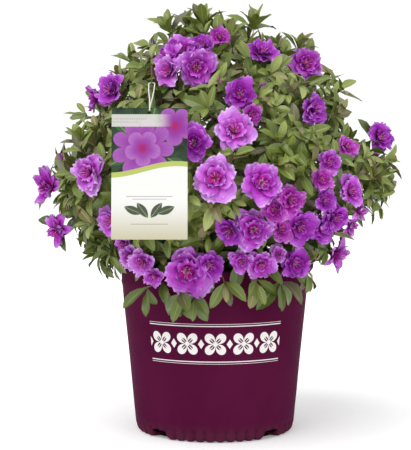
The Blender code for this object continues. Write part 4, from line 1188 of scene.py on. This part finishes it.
class Bloom:
    """One bloom a unit wide while it is built: its face to +Z, its middle near the origin."""

    def __init__(self, number):
        self.dice = random.Random(500 + number)
        self.slim = 0.0 if number < BLOOM_KINDS else RAGGED_SLIMNESS
        self.corners, self.faces, self.kinds = [], [], []
        phase = 0.0
        for layer, whorl in enumerate(WHORLS):
            if layer == 0:
                phase = self.dice.uniform(0, 6.28)
            else:
                phase += math.pi / whorl[0] + self.dice.uniform(-0.2, 0.2)
            for k in range(whorl[0]):
                self.add_petal(layer, k, phase + 2 * math.pi * k / whorl[0], *whorl[1:])
        self.add_tube([Vector((0, 0, z)) for z, _ in TUBE], [r for _, r in TUBE], TUBE_SIDES, 1)
        for k in range(5):
            self.add_sepal(2 * math.pi * k / 5)
        for k in range(STAMENS):
            a = k + self.dice.uniform(0, 0.9)
            out = Vector((math.cos(a), math.sin(a), 0))
            tip = 0.07 + self.dice.uniform(0, 0.08)
            shares = (0, 0.35, 0.7, 1.0)
            line = [out * (0.012 + 0.075 * t * t) + AXIS_UP * (-0.16 + (0.16 + tip) * t) for t in shares]
            self.add_tube(line, (0.0055, 0.005, 0.0045, 0.0075), 4, STAMEN)
        self.corners, self.faces, self.kinds = map(np.array, (self.corners, self.faces, self.kinds))

    def add_petal(self, layer, k, turn, columns, length, width, lift, rim_lift, start, base, ruffle):
        dice, slim = self.dice, self.slim
        turn += dice.uniform(-0.29, 0.29)
        size = dice.uniform(0.80, 1.08)
        if slim:
            size = dice.uniform(0.80, 1.12)
            turn += dice.uniform(-0.35, 0.35)
        spread = 19 + 50 * slim
        width *= size * (1 - 0.6 * slim)
        lift += dice.uniform(-9, 9)
        rim_lift += 30 * slim + dice.uniform(-spread, spread)
        base += 0.012 * (k % 2)
        ruffle *= 1 + slim
        length *= size
        first = len(self.corners)
        self.corners += petal(columns, turn, length, width, lift, rim_lift, start, base, ruffle, slim, dice)
        for row in range(len(PETAL_ROWS) - 1):
            for column in range(columns):
                corner = first + row * (columns + 1) + column
                self.faces.append((corner, corner + 1, corner + columns + 2, corner + columns + 1))
                streak = column in (columns // 2 - 1, columns // 2) and 0 < row < 4
                self.kinds.append(ROW_SHADES[layer][row] - streak)  # the streak is a shade deeper

    def add_sepal(self, turn):
        out = Vector((math.cos(turn), math.sin(turn), 0))
        side = Vector((-out.y, out.x, 0))
        first = len(self.corners)
        for along, half in ((0.0, 0.016), (0.5, 0.020), (1.0, 0.002)):
            middle = out * (0.024 + 0.050 * along) + AXIS_UP * (-0.312 + 0.062 * along)
            self.corners += [middle - side * half, middle + side * half]
        for low in (first, first + 2):
            self.faces.append((low, low + 1, low + 3, low + 2))
            self.kinds.append(CALYX)

    def add_tube(self, points, radii, sides, kind):
        ring = None
        side = None
        for n, (point, radius) in enumerate(zip(points, radii)):
            heading = (points[min(n + 1, len(points) - 1)] - points[max(n - 1, 0)]).normalized()
            side = heading.orthogonal() if side is None else side - heading * side.dot(heading)
            side.normalize()
            rise = heading.cross(side)
            first = len(self.corners)
            for k in range(sides):
                a = 2 * math.pi * k / sides
                self.corners.append(point + (side * math.cos(a) + rise * math.sin(a)) * radius)
            if ring is not None:
                for k in range(sides):
                    j = (k + 1) % sides
                    self.faces.append((ring + k, ring + j, first + j, first + k))
                    self.kinds.append(kind)
            ring = first


petal_finishes = []
for n, tones in enumerate(BLOOM_TONES):
    for shade in range(PETAL_SHADES):
        along = shade * (len(tones) - 1) / (PETAL_SHADES - 1)
        low = min(int(along), len(tones) - 2)
        tone = tuple(Vector(tones[low]).lerp(Vector(tones[low + 1]), along - low))
        finish = Shading(f"petal_{n + 1}_{shade + 1}", tone, 0.58, 0.3)
        finish.set("Sheen Weight", 0.12)
        finish.set("Sheen Roughness", 0.4)
        finish.set("Subsurface Weight", 0.12)
        finish.set("Subsurface Radius", (1.0, 0.4, 0.9))
        finish.set("Subsurface Scale", 0.002)
        petal_finishes.append(finish.made)
petal_finishes.append(Shading("calyx", CALYX_GREEN, 0.6, 0.35).made)
petal_finishes.append(Shading("stamen", STAMEN_PINK, 0.5, 0.35).made)
bloom_patterns = [Bloom(n) for n in range(BLOOM_KINDS + RAGGED_KINDS)]
for part in range(0, len(growth.blooms), BLOOMS_PER_PIECE):
    corners, faces, kinds = [], [], []
    offset = 0
    for order, (n, point, axis, size, tone) in enumerate(growth.blooms[part : part + BLOOMS_PER_PIECE]):
        ragged = n < len(FRONT_BLOOMS) and FRONT_BLOOMS[n][:2] in RAGGED_BLOOMS
        pattern = bloom_patterns[BLOOM_KINDS + n % RAGGED_KINDS if ragged else order % BLOOM_KINDS]
        side, rise = square_to(axis)
        spin = random.Random(9000 + n).uniform(0, 2 * math.pi)
        one = side * math.cos(spin) + rise * math.sin(spin)
        frames = [[one, axis.cross(one), axis]]
        placed, quads = laid_out(pattern.corners, pattern.faces, [point], frames, [size], offset)
        low, high = np.array(cad_box[0]) + 0.0005, np.array(cad_box[1]) - 0.0005
        placed += np.maximum(0, low - placed.min(axis=0)) + np.minimum(0, high - placed.max(axis=0))
        corners.append(placed)
        faces.append(quads)
        first_kind = np.where(pattern.kinds < PETAL_SHADES, tone, len(BLOOM_TONES) - 1) * PETAL_SHADES
        kinds.append(pattern.kinds + first_kind)
        offset += len(placed)
    name = f"blooms_{part // BLOOMS_PER_PIECE + 1}"
    piece = joined(name, np.vstack(corners), np.vstack(faces), petal_finishes, np.hstack(kinds))
    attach(piece, "root")
    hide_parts(*(f"mass_{mass.name}" for mass in masses))

# ---------------------------------------------------------------- buds
# Flower buds that are still rolled up, plum to pink, each in a green calyx, and the small pale leaf
# buds in the middle of the whorls.
BUD_TONES = ((0.300, 0.050, 0.330), (0.480, 0.160, 0.330), (0.300, 0.330, 0.120))
LEAF_BUD_GREEN = (0.26, 0.32, 0.11)
BUD_CALYX, LEAF_BUD = 3, 4  # kinds of face past the buds' tones
nothing_selected()
bpy.ops.mesh.primitive_uv_sphere_add(segments=10, ring_count=8, radius=0.5)
rolled = bpy.context.object
bud_corners = []
for v in rolled.data.vertices:
    along = v.co.z + 0.5
    twisted = 1 + 0.13 * math.cos(5 * math.atan2(v.co.y, v.co.x) + 5 * along)
    swell = 0.62 * (1 - 0.45 * along) * twisted
    bud_corners.append((v.co.x * swell, v.co.y * swell, 1.25 * along - 0.2))
bud_corners = np.array(bud_corners, np.float32).astype(float)
rolled_faces = [list(p.vertices) for p in rolled.data.polygons]
bud_quads = np.array([[*face, face[-1]][:4] for face in rolled_faces])
low_faces = bud_corners[bud_quads][:, :, 2].min(axis=1) < 0.02
bpy.data.objects.remove(rolled, do_unlink=True)
bud_finishes = [Shading(f"bud_{n + 1}", tone, 0.5, 0.35).made for n, tone in enumerate(BUD_TONES)]
bud_finishes.append(Shading("bud_calyx", CALYX_GREEN, 0.6, 0.35).made)
bud_finishes.append(Shading("leaf_bud", LEAF_BUD_GREEN, 0.5, 0.35).made)
roots, frames, sizes, kinds = [], [], [], []
for point, axis, size, tone in growth.buds:
    dice = random.Random(int(size * 1e6) + len(roots))
    for k in range(2 if size < 0.014 else 1):
        lean = (axis + shaken(dice, 0.5) * k).normalized()
        side, rise = square_to(lean)
        roots.append(point + shaken(dice, 0.005) * k)
        frames.append([side * 0.8, rise * 0.8, lean])
        sizes.append(size * (1 - 0.2 * k))
        kinds.append(np.where(low_faces, BUD_CALYX, tone))
for point, axis, length, _, _ in growth.whorls:
    side, rise = square_to(axis)
    roots.append(point + axis * 0.001)
    frames.append([side * 0.5, rise * 0.5, axis])
    sizes.append(length * 0.16)
    kinds.append(np.full(len(bud_quads), LEAF_BUD))
corners, faces = laid_out(bud_corners, bud_quads, roots, frames, sizes)
buds = joined("buds", corners, faces, bud_finishes, np.concatenate(kinds))
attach(buds, "root")
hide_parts(*(f"mass_{mass.name}" for mass in masses))

# ---------------------------------------------------------------- label
# A rounded card of coated stock with a punched hole, printed on its front: lilac flowers on dark
# green above a lime band that dips to the left, and a white panel that warms to cream below.
LABEL_CORNER = 0.0012
SHEET = 0.2  # the side of the square that the print is laid out on
DARK_GREENS = (0.005, 0.014, 0.007), (0.020, 0.050, 0.018)
LEAF_PRINT = (0.040, 0.092, 0.030)
LEAF_RIB = (0.30, 0.42, 0.16)
LEAF_DRAWN = (0.055, 0.070, 0.045)
LILACS = (0.225, 0.024, 0.280), (0.300, 0.085, 0.370)  # a printed petal's face and rim
PALE_LILACS = (0.250, 0.036, 0.310), (0.350, 0.125, 0.430)
HEART_RED = (0.300, 0.006, 0.120)
STRIP_GREY = (0.58, 0.57, 0.53)
STRIP_INK = (0.20, 0.14, 0.17)
PANEL = (0.72, 0.72, 0.70), (0.47, 0.44, 0.30)
LIME = (0.400, 0.460, 0.110)
RULE_INK = (0.16, 0.15, 0.15)
CARD_BACK = (0.80, 0.79, 0.75)
STRIP_MIDDLE = 0.0695
BEAD_PITCH = 0.0030
# x, y, length and turn of each leaf behind the printed flowers, and of those on the panel
LEAVES_BEHIND = (
    (-0.040, 0.064, 0.030, 2.3), (-0.036, 0.020, 0.034, -2.6), (0.038, 0.012, 0.034, -0.5),
    (0.004, 0.074, 0.030, 1.3), (0.043, 0.072, 0.026, 0.8), (-0.012, 0.004, 0.030, -1.4),
)
LEAVES_ON_PANEL = ((-0.0215, 2.75), (-0.0090, 2.2), (0.0090, 0.94), (0.0215, 0.39))
# x, y, radius, petals, turn and colours of each printed flower
PRINTED_FLOWERS = (
    (0.033, 0.062, 0.026, 5, 0.9, LILACS), (-0.009, 0.033, 0.041, 9, 0.2, LILACS),
    (-0.009, 0.033, 0.024, 5, 0.7, PALE_LILACS),
)
nothing_selected()
bpy.ops.mesh.primitive_plane_add(size=1)
label = bpy.context.object
label.name = "label_card"
for v in label.data.vertices:
    v.co.x, v.co.y = v.co.x * LABEL_WIDTH, v.co.y * LABEL_HEIGHT
bpy.ops.object.mode_set(mode="EDIT")
bpy.ops.mesh.select_all(action="SELECT")
bpy.ops.mesh.bevel(offset=LABEL_CORNER, segments=6, affect="VERTICES")
bpy.ops.mesh.extrude_region_move(TRANSFORM_OT_translate={"value": (0, 0, LABEL_THICK)})
bpy.ops.mesh.select_all(action="SELECT")
bpy.ops.transform.translate(value=(0, 0, -LABEL_THICK / 2))
bpy.ops.mesh.normals_make_consistent(inside=False)
bpy.ops.object.mode_set(mode="OBJECT")
nothing_selected()
bpy.ops.mesh.primitive_cylinder_add(
    vertices=40, radius=LABEL_HOLE_RADIUS, depth=0.01,
    location=(0, LABEL_HEIGHT / 2 - LABEL_HOLE_BELOW, 0),
)
cut_away(label, bpy.context.object)
sheet_uv = label.data.uv_layers.get("print") or label.data.uv_layers.new(name="print")
label.data.uv_layers.active = sheet_uv
for face in label.data.polygons:
    for loop in face.loop_indices:
        place = label.data.vertices[label.data.loops[loop].vertex_index].co
        sheet_uv.data[loop].uv = (place.x / SHEET + 0.5, place.y / SHEET + 0.5)
middle = LABEL_TOP + LABEL_DOWN * LABEL_HEIGHT / 2
for v in label.data.vertices:
    v.co = middle + Vector((v.co.x, 0, 0)) - LABEL_DOWN * v.co.y + LABEL_OUT * v.co.z

card = Shading("printed_card", (0.82, 0.80, 0.72), 0.32, 0.4)
uv = card.node("ShaderNodeUVMap", 0, uv_map="print")
card_x, card_y = (part * SHEET + -SHEET / 2 for part in card.parts(uv)[:2])


def printed_flower(under, x, y, radius, petals, turn, colours):
    """Lays one flat flower of rounded petals over the colour under it."""
    dx, dy = card_x - x, card_y - y
    spin = card.math("ARCTAN2", dy, dx) * (petals / 2) + turn
    lobe = abs(card.math("COSINE", spin)) ** 0.45
    share = card.length(dx, dy) / (lobe * (radius * 0.42) + radius * 0.58)
    tone = card.blend(card.between(share, 0.35, 1.0), *colours)
    seam = card.between(lobe, 0.2, 0.62, 0.75, 0.0) * card.between(share, 1.0, 0.3, 0.4, 1.0)
    streak = abs(card.math("SINE", spin * 5.0))
    for mask in (seam, card.between(streak, 0.0, 0.35, 0.35, 0.0), card.below(share, 0.10, 0.42)):
        tone = card.blend(mask, tone, HEART_RED)
    return card.blend(card.below(share, 0.985, 1.0), under, tone)


def printed_leaf(under, x, y, length, turn, colour):
    """Lays one pointed leaf over the colour under it."""
    dx, dy = card_x - x, card_y - y
    c, s = math.cos(turn), math.sin(turn)
    along = dx * c + dy * s
    over = abs(dy * c - dx * s)
    bow = (along / (length / 2)) ** 2.0 * (-0.22 * length) + 0.22 * length
    rib = card.between(over, 0.0003, 0.0008, 0.5, 0.0)
    return card.blend(card.between(bow - over, 0.0, 0.0004), under, card.blend(rib, colour, LEAF_RIB))


shade = card.node("ShaderNodeTexNoise", "Fac", {"Vector": uv, "Scale": 14.0, "Detail": 2.0})
picture = card.blend(card.between(shade, 0.35, 0.65), *DARK_GREENS)
for leaf in LEAVES_BEHIND:
    picture = printed_leaf(picture, *leaf, LEAF_PRINT)
for flower in PRINTED_FLOWERS:
    picture = printed_flower(picture, *flower)
beads = (card.math("FRACT", card_x / BEAD_PITCH) - 0.5) * BEAD_PITCH
strip_tone = STRIP_GREY
for y, row_end in ((0.0715, -0.004), (0.0675, -0.016)):
    row = card.between(card.length(beads, card_y - y), 0.0006, 0.0009, 0.6, 0.0)
    strip_tone = card.blend(row * card.below(card_x, row_end, row_end + 0.0002), strip_tone, STRIP_INK)
strip = card.between(abs(card_y - STRIP_MIDDLE), 0.0080, 0.0082, 0.86, 0.0) * card.below(card_x, 0.006, 0.032)
picture = card.blend(strip, picture, strip_tone)
over_wave = card_y - (card.math("SINE", card_x * 36.0 + 0.3) * 0.0075 + 0.0020)
panel = card.blend(card.between(card_y, -0.030, -0.095), *PANEL)
face = card.blend(card.between(over_wave, -0.0001, 0.0001), panel, LIME)
face = card.blend(card.between(over_wave, 0.0066, 0.0068), face, picture)
for y, half in ((-0.030, 0.030), (-0.0335, 0.022), (-0.066, 0.024)):
    line = card.stripe(card_y, y, 0.0002, 0.0004) * card.below(abs(card_x), half, half + 0.0004)
    face = card.blend(line, face, RULE_INK)
for x, turn in LEAVES_ON_PANEL:
    face = printed_leaf(face, x, -0.0480, 0.025, turn, LEAF_DRAWN)
facing = card.parts(card.node("ShaderNodeNewGeometry", "True Normal"))[1]
card.set("Base Color", card.blend(card.below(facing, -0.6, -0.4), CARD_BACK, face))
card.relief(card.cloud(900.0, 3.0), 0.12, 0.0001)
label.data.materials.clear()
label.data.materials.append(card.made)
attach(label, "root")
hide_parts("label")

# ---------------------------------------------------------------- tie
# A closed loop of soft clear-white plastic cord, threaded through the card's hole and round one twig.
# Its two strands part on the way up and turn by a quarter, so that the twig passes between them.
TIE_WHITE = (0.72, 0.76, 0.66)
TIE_LOW_TURN = 0.0022
TIE_SIDES = 12
TURN_STEPS = 10
STRAND_STEPS = 16


def strand(share, hand):
    """A point on one strand of the loop, which turns a quarter on its way up."""
    swing = math.pi / 2 * share * share * (3 - 2 * share)
    width = TIE_LOW_TURN + (TIE_HIGH_TURN - TIE_LOW_TURN) * share
    apart = (math.cos(swing) * tie_out + math.sin(swing) * sideways) * width * hand
    return low_turn.lerp(TIE_TOP, share) + apart


half_turn = [math.pi / 2 * n / TURN_STEPS for n in range(-TURN_STEPS, TURN_STEPS)]
loop = [low_turn + TIE_LOW_TURN * (-math.cos(a) * tie_up + math.sin(a) * tie_out) for a in half_turn]
loop += [strand(n / STRAND_STEPS, 1) for n in range(STRAND_STEPS)]
loop += [TIE_TOP + TIE_HIGH_TURN * (math.cos(a) * tie_up - math.sin(a) * sideways) for a in half_turn]
loop += [strand(1 - n / STRAND_STEPS, -1) for n in range(STRAND_STEPS + 1)]
tie = tubes("label_loop", [(loop, [TIE_RADIUS] * len(loop))], TIE_SIDES)
soft = Shading("tie_plastic", TIE_WHITE, 0.35, 0.5)
soft.set("Subsurface Weight", 0.25)
soft.set("Subsurface Scale", 0.001)
soft.relief(soft.cloud(1200.0, 2.0), 0.15, 0.0001)
finished(tie, soft)
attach(tie, "root")
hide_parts("label_tie")

# ---------------------------------------------------------------- floor, light and camera
# A plain white sweep under a white sky, with a large soft light from the upper left and a weaker one
# from the right. A dark disc stands for the shade under the pot, seen only through its notches.
PAPER_WHITE = (0.96, 0.96, 0.965)
PAPER_GLOW = 0.17
SHADE_DARK = (0.030, 0.018, 0.024)
SHADE_RADIUS = 0.099
SKY_LIGHT, SKY_SEEN = 0.80, 1.05
LENS, SENSOR, LOOK_DOWN = 107, 36, 3
nothing_selected()
bpy.ops.mesh.primitive_plane_add(size=14, location=(0, 0, 0))
floor = bpy.context.object
floor.name = "floor"
paper = Shading("white_sweep", PAPER_WHITE, 0.9, 0.05)
paper.set("Emission Color", (1.0, 1.0, 1.0))
paper.set("Emission Strength", PAPER_GLOW)
floor.data.materials.append(paper.made)
nothing_selected()
bpy.ops.mesh.primitive_circle_add(vertices=64, radius=SHADE_RADIUS, fill_type="NGON", location=(0, 0, 0.0002))
bpy.ops.object.transform_apply(location=True, rotation=False, scale=False)
under_pot = bpy.context.object
under_pot.name = "floor_under_pot"
under_pot.data.materials.append(Shading("shaded_floor", SHADE_DARK, 0.9, 0.05).made)
world = bpy.data.worlds.new("studio")
world.use_nodes = True
bpy.context.scene.world = world
sky = world.node_tree
seen = sky.nodes.new("ShaderNodeLightPath").outputs["Is Camera Ray"]
strength = sky.nodes.new("ShaderNodeMix")
strength.inputs[2].default_value, strength.inputs[3].default_value = SKY_LIGHT, SKY_SEEN
sky.links.new(seen, strength.inputs[0])
sky.links.new(strength.outputs[0], sky.nodes["Background"].inputs["Strength"])
sky.nodes["Background"].inputs["Color"].default_value = (1.0, 1.0, 1.0, 1.0)


def stood(name, data, place, heading):
    """Puts a lamp in its place and points it along the heading."""
    thing = bpy.data.objects.new(name, data)
    thing.location = place
    thing.rotation_euler = heading.to_track_quat("-Z", "Y").to_euler()
    bpy.context.scene.collection.objects.link(thing)


sun = bpy.data.lights.new("window", "SUN")
sun.energy, sun.angle = 1.6, math.radians(55)
stood("window", sun, (0, 0, 0), -towards(-38, 58))
lamp = bpy.data.lights.new("fill", "AREA")
lamp.shape, lamp.size, lamp.energy = "DISK", 1.2, 6
lamp_place = Vector((1.5, -1.9, 1.0))
stood("fill", lamp, lamp_place, Vector((0, 0, 0.35)) - lamp_place)
lens = bpy.data.cameras.new("camera")
lens.lens, lens.sensor_width = LENS, SENSOR
camera = bpy.data.objects.new("camera", lens)
camera.location = EYE
camera.rotation_euler = (math.radians(90 - LOOK_DOWN), 0, 0)
bpy.context.scene.collection.objects.link(camera)
bpy.context.scene.camera = camera
bpy.context.scene.view_settings.view_transform = "Standard"

bpy.context.view_layer.update()
